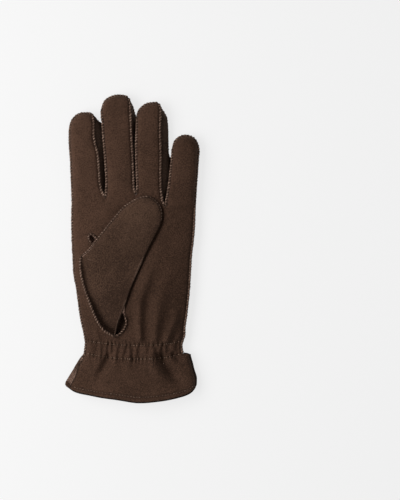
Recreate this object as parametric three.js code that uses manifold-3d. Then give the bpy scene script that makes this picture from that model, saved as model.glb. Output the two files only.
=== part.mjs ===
// A left-hand dress glove of brown suede, lying palm up with its thumb folded across the palm.
// The fingers point along +Y, the little finger lies towards +X, and the back rests on the plane Z = 0.
// Every panel is a thin sheet, cut along its seams: the palm and the back, three forked strips between
// the fingers, the folded thumb and the small gusset beside it. All lengths are in millimetres.
import * as THREE from "three";
import Module from "manifold-3d";

const wasm = await Module();
wasm.setup();

// Driving dimensions
const SUEDE_BROWN = 0x46362c;
const SUEDE = 1; // one layer of suede
const HEM = 1.9; // the cuff's edge, turned in and stitched
const SEAM_GAP = 0.4; // between two panels that are sewn together
const SIDE_SEAM = 6.6; // height of the seams down both sides of the hand
const PALM_SEAM = 10.6; // height of the seams from the palm to the strips between the fingers
const BACK_SEAM = 1.8; // height of the seams from the back to those strips
const TIP_SEAM = 6.2; // height of the seam over a fingertip
const FINGER_CROWN = 13.6; // height of a finger's palm side
const TIP_LENGTH = 13; // the last stretch of a finger, where it rounds off
const ROUND = 2.2; // power of the rounded outlines of fingers
const FLAT_ROUND = 2.7; // power of the flatter outlines of the hand and the thumb
const FINGER_FLAT = 0.5; // the share of a finger's half width whose back lies flat
const BACK_EDGE = 0.5; // where a finger's back ends, from its palm side's edge to its side's furthest reach
const CROTCH = 2; // how far the strips bulge into the hand between two fingers

// A table with named columns
const table = (names, rows) =>
  rows.map((row) => Object.fromEntries(names.split(" ").map((name, i) => [name, row[i]])));

// The ends of the fingers' first rows: both sides of the hand, and the three gaps between fingers
const ROOTS = table("x y", [
  [-52.3, 44.4],
  [-23.5, 45.2],
  [3.8, 47.6],
  [28.6, 37.8],
  [55.8, 41.4],
]);

// Each finger: the height of its tip, where along its width the tip is highest, and how far the tip
// falls towards both edges. Its sections give the palm side's edges and how far its sides reach out.
const SECTION_COLUMNS = "y palmLeft palmRight sideLeft sideRight";
const FINGERS = [
  {
    name: "index", tip: 118.7, apex: 0.4, fallLeft: 15, fallRight: 1.8,
    sections: table(SECTION_COLUMNS, [
      [44, -52.3, -24.2, -52.3, -23.9],
      [56, -52.9, -28.0, -52.9, -24.8],
      [78, -53.8, -30.2, -53.8, -25.4],
      [97, -54.9, -32.0, -54.9, -25.6],
      [106, -54.9, -32.6, -54.9, -26.6],
      [112, -54.2, -33.4, -54.2, -29.4],
      [117, -52, -35.2, -52, -35.2],
    ]),
  },
  {
    name: "middle", tip: 134, apex: 0.3, fallLeft: 13, fallRight: 2.8,
    sections: table(SECTION_COLUMNS, [
      [46, -23.0, 3.2, -22.8, 3.4],
      [54, -23.2, 2.8, -22.4, 3.1],
      [73, -23.6, 1.6, -22.8, 2.6],
      [90, -23.4, 0.6, -22.6, 2.5],
      [106, -25.6, -0.5, -24.8, 2.5],
      [117, -27.0, -1.0, -26.6, 2.4],
      [125, -27.0, -1.9, -27.0, 0.4],
      [131.2, -26.8, -3.4, -26.8, -3.4],
    ]),
  },
  {
    name: "ring", tip: 127.6, apex: 0.72, fallLeft: 13, fallRight: 1.2,
    sections: table(SECTION_COLUMNS, [
      [44, 4.8, 26.2, 4.6, 28.0],
      [53, 5.0, 24.6, 5.0, 29.6],
      [77, 4.3, 24.1, 4.7, 30.8],
      [103, 3.5, 24.0, 4.3, 31.4],
      [112, 3.8, 23.8, 4.2, 30.6],
      [118, 4.4, 23.6, 4.6, 28.4],
      [122.6, 5, 23.2, 5, 26.0],
      [126.4, 5, 22.4, 5, 22.4],
    ]),
  },
  {
    name: "little", tip: 99.1, apex: 0, fallLeft: 13, fallRight: 13,
    sections: table(SECTION_COLUMNS, [
      [40, 30.4, 55.8, 31.0, 55.8],
      [50, 33.3, 56.3, 33.2, 56.3],
      [62, 34.7, 57.2, 34.3, 57.2],
      [77, 34.8, 58.3, 34.8, 58.3],
      [86, 34.7, 59.1, 34.7, 59.1],
    ]),
  },
];

// The hand, wrist and cuff, from the fingers down. A row's middle hangs lower than its ends by sag, and
// left and right are the palm's edges, at the heights zLeft and zRight. Beside an open slit the back's
// edge lies lower than the palm's by the gap. reach is how far it reaches past the palm's on the left, and
// flap widens the row on the right. crown is the palm side's height, and gather the depth of the pleats.
const BODY = table("y sag left reach right flap zLeft zRight gapLeft gapRight crown gather wall", [
  [33, 0, -52.5, 0, 55.5, 0, 6.6, 6.6, 0, 0, 14.4, 0, SUEDE],
  [22, 0, -52.6, 0, 55.0, 0, 6.6, 6.6, 0, 0, 14.8, 0, SUEDE],
  [8, 0, -52.3, 0, 54.0, 0, 6.6, 6.6, 0, 0, 15, 0, SUEDE],
  [-6, 0, -51.6, 0, 52.3, 0, 6.6, 6.6, 0, 0, 15, 0, SUEDE],
  [-20, 0, -51.0, 0, 51.4, 0, 6.6, 6.6, 0, 0, 15, 0, SUEDE],
  [-34, 0, -48.5, 0, 50.6, 0, 6.6, 6.6, 0, 0, 14.6, 0, SUEDE],
  [-47, 0, -46.8, 0, 49.4, 0, 6.6, 6.6, 0, 0, 14.2, 0, SUEDE],
  [-59, 1, -45.2, 0, 48.0, 0, 6.5, 6.5, 0, 0, 13.6, 0, SUEDE],
  [-68, 2.4, -43.2, 0, 46.7, 0, 6.4, 6.4, 0, 0, 13, 0, SUEDE],
  [-75, 3.4, -41.8, 0, 45.8, 0, 6.3, 6.3, 0, 0, 12.4, 0.3, SUEDE],
  [-79.7, 4, -41.0, 0, 44.6, 0, 6.2, 6.2, 0, 0, 11.6, 0.45, SUEDE],
  [-83.2, 4.3, -40.9, 0, 44.2, 0, 6.1, 6.1, 0, 0, 12.2, 0.85, SUEDE],
  [-86.9, 4.7, -41.2, 0, 44.2, 0, 6.1, 6.1, 0, 0, 12.2, 0.85, SUEDE],
  [-90.6, 5, -42.2, 0, 44.6, 0, 6.2, 6.2, 0, 0, 11.6, 0.45, SUEDE],
  [-91.6, 5.2, -42.7, 0, 44.8, 5.9, 6.3, 7.2, 0, 3.4, 11.8, 0.4, SUEDE],
  [-96, 5.8, -44.9, 0, 46.4, 5.2, 6.6, 8.2, 0, 5.8, 12.6, 0.3, SUEDE],
  [-101, 6.8, -47.3, 0, 48.6, 4.4, 7.0, 8.8, 0, 7.2, 13.4, 0, SUEDE],
  [-102, 7.0, -46.4, 2.0, 49.0, 4.2, 7.6, 8.9, 3.4, 7.3, 13.5, 0, SUEDE],
  [-109, 8.8, -47.6, 5.4, 52.0, 3.0, 7.4, 9.2, 5.8, 7.6, 14, 0, SUEDE],
  [-115.5, 10.6, -50.8, 6.8, 54.9, 1.7, 7.8, 9.2, 6.2, 7.6, 14.4, 0, HEM],
  [-121.5, 12.3, -53.2, 3.0, 55.4, 0, 7.8, 9.0, 6.2, 7.4, 14.4, 0, HEM],
]);
const FLAP_FROM = 0.8; // the share of a row's half width past which the flap widens it
const SAG_LEFT = 1.9; // power of the sagging rows' outline on the left, and on the right
const SAG_RIGHT = 3.4;
const BACK_FLAT = 0.8; // the share of the back's half width that lies flat
const VENT_REACH = 1; // how far the back's edge reaches past the palm's at the right slit
const PLEAT_FADE = 14; // how steeply pleats, and folds, die out towards the seams
const FOLD_FADE = 6;

// The pleats under the elastic: where each one rises highest, and the hollow to its right
const PLEATS = table("ridge hollow", [
  [-36.8, -30.3],
  [-28.1, -25.4],
  [-23.4, -21.1],
  [-19.4, -16.6],
  [-14.1, -11.4],
  [-7.8, -5.1],
  [-2.1, 1.2],
  [3.7, 6.4],
  [12.6, 14.8],
  [19.4, 22.6],
  [25.1, 27.3],
  [29.8, 32.0],
  [37.2, 40.6],
]);
const ELASTIC_LEFT = -41;
const ELASTIC_RIGHT = 44.3;

// Folds in the palm side, each along a line from one point to the other; a valley has a negative rise
const FOLDS = table("x1 y1 x2 y2 width rise", [
  [7.4, -32, -0.6, -56, 4, 0.9],
  [-0.6, -56, 5.0, -80, 3.6, 1.2],
  [10.4, -36, 8.4, -80, 3.4, -1.8],
  [17.5, -44, 14.8, -80, 3.8, 0.9],
  [27.4, -50, 20.8, -80, 3.6, -1.4],
  [34.5, -56, 27.6, -80, 3.8, 0.8],
  [38.4, -67, 33.4, -82, 3.2, -1],
  [-23.7, -97, -24.0, -101, 3.6, -1],
  [-24.0, -101, -32.4, -112, 4, -0.9],
  [-16, -98, -19, -118, 4.6, 0.9],
  [-4.4, -98, -4, -118, 4.6, -0.8],
  [10, -100, 11, -120, 4.8, 0.9],
  [21.4, -97, 36.4, -118, 4, -1.8],
  [34.0, -93, 41.6, -99, 3.2, -1],
]);

// The palm is pressed down where the thumb lies on it, along this line. The dent is deepest within the
// rim's share of its reach, and dies out where the reach and the rim end.
const PRESS = { x1: -24, y1: -34, x2: 8, y2: 30, reach: 26, rim: 0.25, depth: 3.2 };

// The thumb from its root to its tip: (xSeam, ySeam) is its seam, as high above the palm as seam says, and
// (xFold, yFold) its folded edge. It is height thick. In the sewn rows its root is let into the palm, and
// (xHole, yHole) is the far edge of the opening there. In the other rows its layers meet at the seam.
const THUMB_ROOT = { x: -14.5, y: -75.6 };
const THUMB = table("xSeam ySeam xFold yFold height seam xHole yHole", [
  [-19.2, -73.8, -12.4, -70.0, 4.6, 1, -9.8, -73.4],
  [-25.4, -69.2, -10.4, -62.6, 7.4, 1, -6.0, -68.6],
  [-31.2, -59.6, -7.3, -53.4, 9, 1, -4.9, -61.6],
  [-35.8, -47.0, -3.7, -42.6, 9.6, 1, -8.4, -50],
  [-40.1, -35.5, 0.0, -32.8, 9.8, 1, -14.5, -38],
  [-43.8, -23.2, 4.6, -22.4, 9.8, 1, -21.5, -25],
  [-44.8, -12.4, 9.2, -12.4, 9.8, 1, -30.5, -13],
  [-43.4, -6.7, 12.4, -5.0, 9.8, 1.2, -42.6, -6.9],
  [-38.0, -1.2, 15.4, 1.6, 9.8, 2.2, 0, 0],
  [-30.6, 8.4, 18.9, 8.6, 9.8, 3, 0, 0],
  [-23.4, 17.4, 22.2, 15.3, 9.6, 3.6, 0, 0],
  [-15.0, 27.8, 25.2, 22.0, 9.2, 4, 0, 0],
  [-7.6, 36.3, 26.2, 30.0, 8.6, 3.8, 0, 0],
  [0.2, 41.8, 24.8, 36.6, 7.6, 3.4, 0, 0],
  [7.0, 44.8, 20.8, 41.8, 6, 2.8, 0, 0],
]);
const THUMB_TIP = { x: 14.6, y: 45.6 };
const SEWN_ROWS = 8;
const THUMB_LIFT = 0.6; // between the thumb and the palm under it
const THUMB_LAP = 2.2; // how far the root of the thumb laps over the edge of its opening
const TOP_COLUMNS = [0, 0.04, 0.12, 0.27, 0.5, 0.74, 0.92, 1];
const UNDER_COLUMNS = [0.06, 0.26, 0.5, 0.78, 0.95];

// The gusset beside the thumb: its outline, and how far its middle sinks in
const QUIRK = table("x y", [
  [-37.3, 8.4],
  [-34.3, 3.9],
  [-29.9, 8.2],
  [-34.7, 12.8],
  [-37.0, 12.1],
]);
const QUIRK_DEPTH = 2.6;
const QUIRK_REACH = 3.4; // from its middle to the nearest side
const QUIRK_STEP = { share: 0.55, depth: 1.8 }; // a ring part way in, and its depth
const POST = 30; // the height of the posts that cut openings in the palm
const SKY = 100; // a height above all of the glove
const MITRE_LIMIT = 0.6; // keeps the corners of drawn-back edges from running out to a point

// Columns across a finger, the hand and the elastic, and rows along a finger
const evenly = (count) => Array.from({ length: count + 1 }, (_, i) => -1 + (2 * i) / count);
const FINGER_ACROSS = [-1, -0.87, -0.5, 0, 0.5, 0.87, 1];
const CROWDING = 0.3; // how much the hand's columns crowd towards its edges
const HAND_ACROSS = evenly(FINGERS.length * (FINGER_ACROSS.length - 1)).map(
  (t) => (1 - CROWDING) * t + CROWDING * Math.sin((t * Math.PI) / 2),
);
const elasticShare = (x) => (2 * (x - ELASTIC_LEFT)) / (ELASTIC_RIGHT - ELASTIC_LEFT) - 1;
const PLEATS_ACROSS = [-1, ...PLEATS.flatMap(({ ridge, hollow }) => [ridge, hollow].map(elasticShare)), 1];
const FINGER_ALONG = [0, 0.13, 0.28, 0.44, 0.6, 0.74, 0.84, 0.91, 0.96, 0.99, 1];

const UP = new THREE.Vector3(0, 0, 1);
const clamp = (v) => Math.min(1, Math.max(0, v));
const mix = (a, b, s) => a + (b - a) * s;
const ease = (s) => s * s * (3 - 2 * s);
// Falls from 1 to 0 while s goes from 0 to 1, like a quarter of a rounded outline
const quarter = (s, power = ROUND) => Math.pow(1 - Math.pow(clamp(Math.abs(s)), power), 1 / power);

// A column of a table at any y, on a smooth curve through its rows
function valueAt(rows, column, y) {
  const up = rows[0].y < rows.at(-1).y ? rows : [...rows].reverse();
  const past = up.filter((row) => row.y <= y).length;
  const i = Math.min(Math.max(past, 1), up.length - 1) - 1;
  const slope = (k) => {
    const [a, b] = [up[Math.max(k - 1, 0)], up[Math.min(k + 1, up.length - 1)]];
    return (b[column] - a[column]) / (b.y - a.y);
  };
  const step = up[i + 1].y - up[i].y;
  const s = clamp((y - up[i].y) / step);
  const bend = s * (1 - s) * step * ((1 - s) * slope(i) - s * slope(i + 1));
  return mix(up[i][column], up[i + 1][column], ease(s)) + bend;
}

// How far the point (x, y) is from a line between two points, in units of size
function beside({ x1, y1, x2, y2 }, x, y, size) {
  const [dx, dy] = [x2 - x1, y2 - y1];
  const s = clamp(((x - x1) * dx + (y - y1) * dy) / (dx * dx + dy * dy));
  return Math.hypot(x - x1 - s * dx, y - y1 - s * dy) / size;
}

// How far the folds, and the thumb's weight, raise or lower the palm at (x, y)
function foldRise(x, y) {
  const folds = FOLDS.map((fold) => fold.rise * Math.exp(-(beside(fold, x, y, fold.width) ** 2)));
  const dent = PRESS.depth * ease(clamp(1 + PRESS.rim - beside(PRESS, x, y, PRESS.reach)));
  return folds.reduce((sum, rise) => sum + rise, -dent);
}

// How much of its edge's height a back has at t, when its middle lies flat
const edgeRise = (t, flat) => clamp((Math.abs(t) - flat) / (1 - flat)) ** 2;

// One point of finger i: t runs from its left edge at -1 to its right edge at 1, s from root to tip
function fingerPoint(i, t, s, onPalm) {
  const finger = FINGERS[i];
  const [from, to] = [ROOTS[i], ROOTS[i + 1]];
  const across = (t + 1) / 2;
  const fall = (u) => {
    const [width, depth] = u < finger.apex
      ? [1 + finger.apex, finger.fallLeft]
      : [1 - finger.apex, finger.fallRight];
    return depth * (1 - quarter((u - finger.apex) / width));
  };
  const y = mix(mix(from.y, to.y, across), finger.tip - fall(t), s);
  const edge = (root, end, name) => {
    if (s === 0) return root.x;
    const edgeY = mix(root.y, finger.tip - fall(end), s);
    const palmX = valueAt(finger.sections, "palm" + name, edgeY);
    if (onPalm || s === 1) return palmX;
    return mix(palmX, valueAt(finger.sections, "side" + name, edgeY), BACK_EDGE);
  };
  const x = mix(edge(from, -1, "Left"), edge(to, 1, "Right"), across);
  const full = quarter(clamp(1 - ((1 - s) * (finger.tip - from.y)) / TIP_LENGTH));
  const forkSeam = onPalm ? PALM_SEAM : BACK_SEAM;
  const left = mix(TIP_SEAM, i === 0 ? SIDE_SEAM : forkSeam, full);
  const right = mix(TIP_SEAM, i === FINGERS.length - 1 ? SIDE_SEAM : forkSeam, full);
  const z = onPalm
    ? mix(mix(left, right, across), FINGER_CROWN, quarter(t) * full)
    : mix(TIP_SEAM * (1 - full), t < 0 ? left : right, edgeRise(t, FINGER_FLAT));
  return new THREE.Vector3(x, y, z);
}

// One point of the hand, wrist or cuff. pleat is 1 on a ridge and -1 in a hollow.
function bodyPoint(row, t, onPalm, pleat = 0) {
  const across = (t + 1) / 2;
  const flap = ease(clamp((t - FLAP_FROM) / (1 - FLAP_FROM))) * row.flap;
  const y = row.y - row.sag * (1 - Math.abs(t) ** (t < 0 ? SAG_LEFT : SAG_RIGHT));
  const x = mix(row.left, row.right, across) + flap;
  const inside = 1 - Math.abs(t);
  if (onPalm) {
    const smooth = mix(mix(row.zLeft, row.zRight, across), row.crown, quarter(t, FLAT_ROUND));
    const pleats = row.gather * pleat * clamp(inside * PLEAT_FADE);
    return new THREE.Vector3(x, y, smooth + pleats + foldRise(x, y) * clamp(inside * FOLD_FADE));
  }
  const rise = edgeRise(t, BACK_FLAT);
  const edge = t < 0 ? row.zLeft - row.gapLeft : row.zRight - row.gapRight;
  const vent = row.gapRight > 0 ? VENT_REACH * ease(clamp(t)) : 0;
  const reach = vent - row.reach * ease(clamp(-t));
  const lift = (row.gather * (1 + pleat) * (1 - rise)) / 2;
  return new THREE.Vector3(x + reach, y - (row.wall - SUEDE), edge * rise + lift);
}

// A sheet of triangles whose shared points are merged; its faces look outwards
class Sheet {
  points = [];
  walls = [];
  faces = [];
  known = new Map();

  static key = (point) => point.toArray().map((v) => Math.round(v * 1000)).join(" ");

  add(point, wall) {
    const key = Sheet.key(point);
    if (!this.known.has(key)) {
      this.known.set(key, this.points.length);
      this.points.push(point);
      this.walls.push(wall);
    }
    return this.known.get(key);
  }

  face(corners, flip) {
    if (new Set(corners).size === 3) this.faces.push(flip ? corners.reverse() : corners);
  }

  // Fills the strip between two rows of points, which may have different numbers of columns
  join(low, high, flip) {
    const [m, n] = [low.length - 1, high.length - 1];
    let [i, j] = [0, 0];
    while (i < m || j < n) {
      if (j === n || (i < m && (i + 1) * n <= (j + 1) * m)) {
        this.face([low[i], low[i + 1], high[j]], flip);
        i += 1;
      } else {
        this.face([low[i], high[j + 1], high[j]], flip);
        j += 1;
      }
    }
  }

  rows(rows, flip = false, walls = rows.map(() => SUEDE)) {
    const indices = rows.map((row, k) => row.map((point) => this.add(point, walls[k])));
    indices.slice(1).forEach((row, k) => this.join(indices[k], row, flip));
    return this;
  }
}

// The face normals summed at every place, so that panels which meet at a seam turn the same way there
function sharedNormals(sheets) {
  const sums = new Map();
  for (const { points, faces } of sheets) {
    for (const corners of faces) {
      const [a, b, c] = corners.map((v) => points[v]);
      const normal = b.clone().sub(a).cross(c.clone().sub(a));
      for (const point of [a, b, c]) {
        const key = Sheet.key(point);
        sums.set(key, (sums.get(key) ?? new THREE.Vector3()).add(normal));
      }
    }
  }
  return (point) => sums.get(Sheet.key(point)).clone().normalize();
}

// Gives a sheet its thickness, inwards, and draws its sewn edges back by half the seam's gap
function thicken(sheet, normalAt, neighbours = []) {
  const sides = new Map(
    sheet.faces.flatMap(([a, b, c]) => [[a, b], [b, c], [c, a]]).map((side) => [side.join(" "), side]),
  );
  const rim = [...sides.values()].filter(([from, to]) => !sides.has(to + " " + from));
  const isSewn = (v) => neighbours.some((other) => other.known.has(Sheet.key(sheet.points[v])));
  const pulls = sheet.points.map(() => []);
  for (const [from, to] of rim.filter((side) => side.every(isSewn))) {
    const along = sheet.points[to].clone().sub(sheet.points[from]);
    for (const v of [from, to]) pulls[v].push(normalAt(sheet.points[v]).cross(along).normalize());
  }
  const outer = sheet.points.map((point, v) => {
    const [one, two = one] = pulls[v];
    if (!one) return point.clone();
    const shared = one.clone().add(two);
    return point.clone().addScaledVector(shared, SEAM_GAP / 2 / Math.max(MITRE_LIMIT, 1 + one.dot(two)));
  });
  const inner = outer.map((point, v) =>
    point.clone().addScaledVector(normalAt(sheet.points[v]), -sheet.walls[v]),
  );
  const count = outer.length;
  return geometryOf([...outer, ...inner], [
    ...sheet.faces,
    ...sheet.faces.map(([a, b, c]) => [a + count, c + count, b + count]),
    ...rim.flatMap(([from, to]) => {
      const [a, b, c, d] = Sheet.key(sheet.points[from]) < Sheet.key(sheet.points[to])
        ? [from, from + count, to + count, to]
        : [to, from, from + count, to + count];
      return [[a, b, c], [a, c, d]];
    }),
  ]);
}

function geometryOf(points, triangles) {
  const position = new THREE.Float32BufferAttribute(points.flatMap((p) => p.toArray()), 3);
  const geometry = new THREE.BufferGeometry().setAttribute("position", position);
  geometry.setIndex(triangles.flat());
  geometry.computeVertexNormals();
  return geometry;
}

// The palm or the back: one sheet from the hem to the four fingertips
function handSheet(onPalm) {
  const rows = BODY.map((row) => {
    if (row.gather === 0) return HAND_ACROSS.map((t) => bodyPoint(row, t, onPalm));
    return PLEATS_ACROSS.map((t, j) => bodyPoint(row, t, onPalm, j % 2 ? 1 : -1));
  });
  const roots = FINGERS.flatMap((_, i) =>
    FINGER_ACROSS.slice(i ? 1 : 0).map((t) => fingerPoint(i, t, 0, onPalm)),
  );
  const walls = BODY.map((row) => row.wall);
  const sheet = new Sheet().rows([...rows.reverse(), roots], !onPalm, [...walls.reverse(), SUEDE]);
  FINGERS.forEach((_, i) => {
    sheet.rows(FINGER_ALONG.map((s) => FINGER_ACROSS.map((t) => fingerPoint(i, t, s, onPalm))), !onPalm);
  });
  return sheet;
}

// The forked strip in gap i: down the right side of finger i, round the root and up its neighbour
function fourchetteSheet(i) {
  const column = (finger, t, s) => {
    const [top, bottom] = [fingerPoint(finger, t, s, true), fingerPoint(finger, t, s, false)];
    if (s === 1) return [top];
    const middle = top.clone().add(bottom).divideScalar(2);
    const sideX = valueAt(FINGERS[finger].sections, t > 0 ? "sideRight" : "sideLeft", top.y);
    const bulge = s === 0 ? middle.setY(top.y - CROTCH) : middle.setX(2 * sideX - middle.x);
    const curve = new THREE.QuadraticBezierCurve3(top, bulge, bottom);
    return [top, curve.getPoint(0.25), curve.getPoint(0.5), curve.getPoint(0.75), bottom];
  };
  const down = FINGER_ALONG.toReversed().map((s) => column(i, 1, s));
  const up = FINGER_ALONG.slice(1).map((s) => column(i + 1, -1, s));
  return new Sheet().rows([...down, ...up], true);
}

// Looks down on a sheet and gives the height of its face at (x, y)
function heightOver({ points, faces }) {
  const mesh = new THREE.Mesh(geometryOf(points, faces), new THREE.MeshBasicMaterial());
  const down = UP.clone().negate();
  return (x, y) => {
    const [hit] = new THREE.Raycaster(new THREE.Vector3(x, y, SKY), down).intersectObject(mesh);
    return hit.point.z;
  };
}

// The thumb: its upper layer from the seam to the folded edge, then its lower layer back under it
function thumbSheet(palmHeight) {
  const over = (x, y, lift) => new THREE.Vector3(x, y, palmHeight(x, y) + THUMB_LIFT + lift);
  const rows = THUMB.map((row, k) => {
    const isSewn = k < SEWN_ROWS;
    const seam = over(row.xSeam, row.ySeam, row.seam);
    const fold = over(row.xFold, row.yFold, row.height / 2);
    const crown = over((seam.x + fold.x) / 2, (seam.y + fold.y) / 2, row.height).z;
    const upper = TOP_COLUMNS.map((u) => {
      const point = seam.clone().lerp(fold, u);
      const full = u < 0.5 ? ease(quarter(2 * u - 1)) : quarter(2 * u - 1, FLAT_ROUND);
      return point.setZ(mix(point.z, crown, full));
    });
    // Where the opening shows beside the fold, the lower layer lies face up, so its thickness is below it
    const faceUp = isSewn && row.xHole > row.xFold;
    const under = [...UNDER_COLUMNS, 1].map((u) => {
      const x = mix(row.xFold, isSewn ? row.xHole : row.xSeam, u);
      const y = mix(row.yFold, isSewn ? row.yHole : row.ySeam, u);
      const isFalling = isSewn || u < 0.5;
      const flat = quarter(clamp(isFalling ? 1 - 2 * u : 2 * u - 1), FLAT_ROUND);
      const point = over(x, y, faceUp ? SUEDE : 0);
      return point.setZ(mix(isFalling ? fold.z : seam.z, point.z, flat));
    });
    return isSewn ? [...upper, ...under] : [...upper, ...under.slice(0, -1), upper[0]];
  });
  const root = over(THUMB_ROOT.x, THUMB_ROOT.y, THUMB.at(0).seam);
  const tip = over(THUMB_TIP.x, THUMB_TIP.y, THUMB.at(-1).seam);
  return new Sheet().rows([[root], ...rows, [tip]]);
}

// The opening in the palm under the root of the thumb
function thumbOpening() {
  const sewn = THUMB.slice(0, SEWN_ROWS);
  const near = sewn.map(({ xSeam, ySeam, xFold, yFold }) => {
    const inwards = new THREE.Vector2(xFold - xSeam, yFold - ySeam).setLength(THUMB_LAP);
    return new THREE.Vector2(xSeam, ySeam).add(inwards);
  });
  const far = sewn.slice(0, -1).map(({ xHole, yHole }) => new THREE.Vector2(xHole - THUMB_LAP, yHole));
  return [...near, ...far.reverse()];
}

const quirkOutline = () => QUIRK.map(({ x, y }) => new THREE.Vector2(x, y));

// The gusset: a small cup let into the palm, its rim level with the palm's face
function quirkSheet(palmHeight) {
  const outline = quirkOutline();
  const centre = outline.reduce((sum, p) => sum.add(p), new THREE.Vector2()).divideScalar(outline.length);
  const ring = (share, depth) => {
    const points = outline.map((p) => p.clone().sub(centre).multiplyScalar(share).add(centre));
    return [...points, points[0]].map((p) => new THREE.Vector3(p.x, p.y, palmHeight(p.x, p.y) - depth));
  };
  const middle = ring(0, QUIRK_DEPTH).slice(0, 1);
  const edge = ring(1 - SEAM_GAP / QUIRK_REACH, 0);
  return new Sheet().rows([edge, ring(QUIRK_STEP.share, QUIRK_STEP.depth), middle]);
}

function solidOf(geometry) {
  const position = geometry.getAttribute("position");
  const merged = new Sheet();
  const corners = Array.from({ length: position.count }, (_, v) =>
    merged.add(new THREE.Vector3().fromBufferAttribute(position, v)),
  );
  const order = geometry.index ? [...geometry.index.array] : corners.map((_, v) => v);
  const vertProperties = new Float32Array(merged.points.flatMap((p) => p.toArray()));
  const triVerts = new Uint32Array(order.map((v) => corners[v]));
  return new wasm.Manifold(new wasm.Mesh({ numProp: 3, vertProperties, triVerts }));
}

// Cuts openings of the given outlines straight through a panel
function cutThrough(geometry, outlines) {
  const posts = outlines.map((outline) => {
    const post = new THREE.ExtrudeGeometry(new THREE.Shape(outline), { depth: POST, bevelEnabled: false });
    return solidOf(post.translate(0, 0, SIDE_SEAM));
  });
  const mesh = posts.reduce((solid, post) => solid.subtract(post), solidOf(geometry)).getMesh();
  const triple = (list, i) => [...list.slice(3 * i, 3 * i + 3)];
  const triples = (list, count) => Array.from({ length: count }, (_, i) => triple(list, i));
  const points = triples(mesh.vertProperties, mesh.numVert).map((p) => new THREE.Vector3(...p));
  return geometryOf(points, triples(mesh.triVerts, mesh.numTri));
}

const glove = new THREE.Group();

function addPiece(name, geometry) {
  const suede = new THREE.MeshStandardMaterial({ name, color: SUEDE_BROWN, roughness: 0.95, metalness: 0 });
  const mesh = new THREE.Mesh(geometry, suede);
  mesh.name = name;
  glove.add(mesh);
}

const palm = handSheet(true);
const back = handSheet(false);
const forks = [0, 1, 2].map(fourchetteSheet);
const skin = [palm, back, ...forks];
const normalAt = sharedNormals(skin);
const panelOf = (sheet) => thicken(sheet, normalAt, skin.filter((other) => other !== sheet));
addPiece("palm_panel", cutThrough(panelOf(palm), [thumbOpening(), quirkOutline()]));
addPiece("back_panel", panelOf(back));
forks.forEach((fork, i) => {
  addPiece(`fourchette_${FINGERS[i].name}_${FINGERS[i + 1].name}`, panelOf(fork));
});

const palmHeight = heightOver(palm);
const thumb = thumbSheet(palmHeight);
addPiece("thumb", thicken(thumb, sharedNormals([thumb])));
addPiece("thumb_quirk", thicken(quirkSheet(palmHeight), () => UP.clone()));

export default glove;
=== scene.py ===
"""The looks of a left-hand dress glove of brown suede, lying palm up with its thumb folded in."""

import bpy
import numpy as np
from mathutils.bvhtree import BVHTree
from mathutils.kdtree import KDTree
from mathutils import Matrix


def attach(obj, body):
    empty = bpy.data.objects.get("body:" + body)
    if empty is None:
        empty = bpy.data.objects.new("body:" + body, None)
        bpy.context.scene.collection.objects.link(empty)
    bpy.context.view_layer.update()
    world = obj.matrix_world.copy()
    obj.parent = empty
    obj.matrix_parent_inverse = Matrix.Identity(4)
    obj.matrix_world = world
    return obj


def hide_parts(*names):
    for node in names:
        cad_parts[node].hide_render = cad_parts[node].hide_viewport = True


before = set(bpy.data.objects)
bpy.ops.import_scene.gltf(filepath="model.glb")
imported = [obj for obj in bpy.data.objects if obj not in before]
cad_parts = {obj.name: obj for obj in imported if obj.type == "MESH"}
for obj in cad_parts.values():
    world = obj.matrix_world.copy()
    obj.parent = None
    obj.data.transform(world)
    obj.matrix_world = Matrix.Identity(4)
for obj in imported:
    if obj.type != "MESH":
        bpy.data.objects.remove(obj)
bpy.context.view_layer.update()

# Sizes in millimetres; meshes are scaled to metres as they are made
MM = 0.001
SUEDE = 1.0  # one layer of suede
THIN_SUEDE = 0.8  # the thumb, the fourchettes and the gusset
HEM = 1.9  # the cuff's edge, turned in and stitched
SIDE_SEAM = 6.6  # the height of the seam along both sides of the hand
PALM_SEAM = 10.6  # the height of the seam between a finger's palm side and its fourchette
BACK_SEAM = 1.8  # the height of the seam between a finger's back and its fourchette
TIP_SEAM = 6.2  # the height of the seam round a fingertip
FINGER_CROWN = 13.6  # the height of a finger's palm side
TIP_LENGTH = 13  # the last stretch of a finger, where it rounds off
ROUND = 2.2  # power of the rounded outlines of fingers
FINGER_FLAT = 2.6  # power of the palm side across a finger
FLAT_ROUND = 3.0  # power of the hand's left half and of the thumb, which lie flatter
RIGHT_ROUND = 1.93  # power of the hand's right half
# The raw edges that stand up along an overcast seam, and how far its stitches pinch them
WELT = {
    "height": 1.5, "half_width": 0.8, "slant": 0.24, "rough": 0.12, "uneven": 0.24,
    "pinch_across": 0.34, "pinch_down": 0.6,
}
# The overcast stitches: how far each bows across and over the welt and slants, and how much they differ
STITCH = {
    "pitch": 2.5, "radius": 0.36, "points": 8, "bow": 1.75, "across": 0.92, "over": 0.64, "above": 0.2,
    "slant": 0.55, "slants": 0.25, "heights": 0.14, "places": 0.3, "radii": 0.2,
}
SEAM_INSET = 1.3  # how far the sheets end inside the glove's outline, where the welt stands out to it
GUTTER = {"depth": 0.4, "away": 1.5, "half_width": 0.9}  # the hollow that runs beside an overcast seam
WELD = 1e-4  # points closer than this are one
ABOVE = 100.0  # higher than all of the glove
UP = np.array([0, 0, 1.0])
ASLANT = np.array([0.37, 0.61, 0.7])  # a way in which no thread runs
SEAM_SIZES = {"palm": [1.06] * 3, "thumb": [1.0, 0.72, 0.85], "quirk": [0.75]}  # against the other seams
SNAP = 0.55  # points this close to a cut are drawn onto it
SEAM_REACH = 3.0  # how far the painted shade in the crease beside a seam reaches
SEAM_UP = 0.5  # how far the side and palm seams lean upwards
SEAM_ROUNDS = 6  # how often a seam's corners are rounded off
EDGE_BULGE = 0.35  # how far a cut edge bulges, as a share of the wall
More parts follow.
